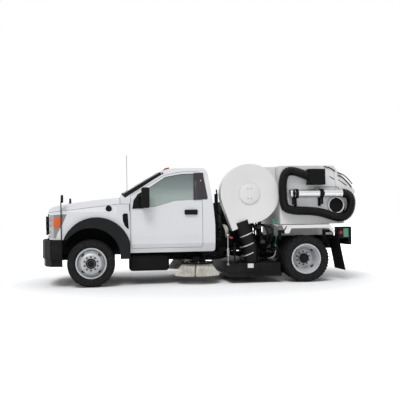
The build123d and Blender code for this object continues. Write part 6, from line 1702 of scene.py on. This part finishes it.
@dataclass
class Studio:
    """Camera, floor and light."""

    position: Point = (1.5035, 12.103, 1.169)
    yaw: float = 0.1315
    pitch: float = -0.02474
    roll: float = -0.01621
    lens: float = 58.5
    floor_size: float = 60.0

    def camera(self) -> None:
        """Make the camera at the photograph's place."""
        up = Vector((0, 0, 1))
        ahead = Vector((-math.sin(self.yaw), -math.cos(self.yaw), 0))
        across = Vector((-math.cos(self.yaw), math.sin(self.yaw), 0))
        look = ahead * math.cos(self.pitch) - up * math.sin(self.pitch)
        lifted = up * math.cos(self.pitch) + ahead * math.sin(self.pitch)
        right = across * math.cos(self.roll) + lifted * math.sin(self.roll)
        top = lifted * math.cos(self.roll) - across * math.sin(self.roll)
        data = bpy.data.cameras.new("camera")
        data.lens = self.lens
        data.sensor_width = 36.0
        camera = bpy.data.objects.new("camera", data)
        turn = Matrix((right, top, -look)).transposed().to_4x4()
        camera.matrix_world = Matrix.Translation(self.position) @ turn
        bpy.context.scene.collection.objects.link(camera)
        bpy.context.scene.camera = camera

    def lights(self) -> None:
        """Make a soft white world and one large soft sun."""
        world = bpy.data.worlds.new("world")
        bpy.context.scene.world = world
        world.use_nodes = True
        tree = world.node_tree
        tree.nodes.clear()
        path = tree.nodes.new("ShaderNodeLightPath")
        seen = tree.nodes.new("ShaderNodeMath")
        seen.operation = "MAXIMUM"
        tree.links.new(path.outputs["Is Camera Ray"], seen.inputs[0])
        mirrored = tree.nodes.new("ShaderNodeMath")
        mirrored.operation = "MAXIMUM"
        tree.links.new(path.outputs["Is Glossy Ray"], mirrored.inputs[0])
        tree.links.new(path.outputs["Is Transmission Ray"], mirrored.inputs[1])
        tree.links.new(mirrored.outputs[0], seen.inputs[1])
        soft = tree.nodes.new("ShaderNodeBackground")
        soft.inputs["Color"].default_value = (0.97, 0.98, 1.0, 1)
        soft.inputs["Strength"].default_value = 0.62
        plain = tree.nodes.new("ShaderNodeBackground")
        plain.inputs["Color"].default_value = (1, 1, 1, 1)
        blend = tree.nodes.new("ShaderNodeMixShader")
        tree.links.new(seen.outputs[0], blend.inputs[0])
        tree.links.new(soft.outputs[0], blend.inputs[1])
        tree.links.new(plain.outputs[0], blend.inputs[2])
        out = tree.nodes.new("ShaderNodeOutputWorld")
        tree.links.new(blend.outputs[0], out.inputs[0])
        data = bpy.data.lights.new("sun", "SUN")
        data.energy = 1.5
        data.angle = math.radians(25)
        sun = bpy.data.objects.new("sun", data)
        sun.rotation_euler = Vector((0.25, 0.55, 0.8)).to_track_quat("Z", "Y").to_euler()
        bpy.context.scene.collection.objects.link(sun)

    def floor(self) -> None:
        """Make the plain white floor."""
        mesh = bpy.data.meshes.new("floor")
        half = self.floor_size
        mesh.from_pydata(
            [(-half, -half, 0), (half, -half, 0), (half, half, 0), (-half, half, 0)], [], [(0, 1, 2, 3)]
        )
        floor = bpy.data.objects.new("floor", mesh)
        bpy.context.scene.collection.objects.link(floor)
        graph = Graph("floor_white")
        path = graph.node("ShaderNodeLightPath")
        seen = Number(graph, path.outputs["Is Camera Ray"]) + Number(graph, path.outputs["Is Glossy Ray"])
        far = (graph.x ** 2.0 + graph.y ** 2.0) ** 0.5
        glow = far.ramp(2.2, 7.0) * seen.ramp(0.0, 1.0)
        mesh.materials.append(graph.finish({
            "Base Color": shade((0.97, 0.97, 0.97)), "Roughness": 1.0, "Specular IOR Level": 0.0,
            "Emission Color": graph.mix(glow, shade((0.0, 0.0, 0.0)), shade((1.0, 1.0, 1.0))),
            "Emission Strength": 1.0,
        }))

    def build(self) -> None:
        """Make the camera, lights and floor."""
        bpy.context.scene.view_settings.view_transform = "Standard"
        self.camera()
        self.lights()
        self.floor()


def main() -> None:
    """Build every class in order and report the pieces."""
    logging.basicConfig(level=logging.INFO, format="%(message)s")
    FRAME.update(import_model())
    Studio().build()
    palette = Palette()
    palette.dress(FRAME["nodes"])
    for sub_assembly in SUB_ASSEMBLIES:
        made = sub_assembly(palette).build()
        LOG.info("%s: %s", sub_assembly.__name__, ", ".join(piece.name for piece in made))


if __name__ == "__main__":
    main()
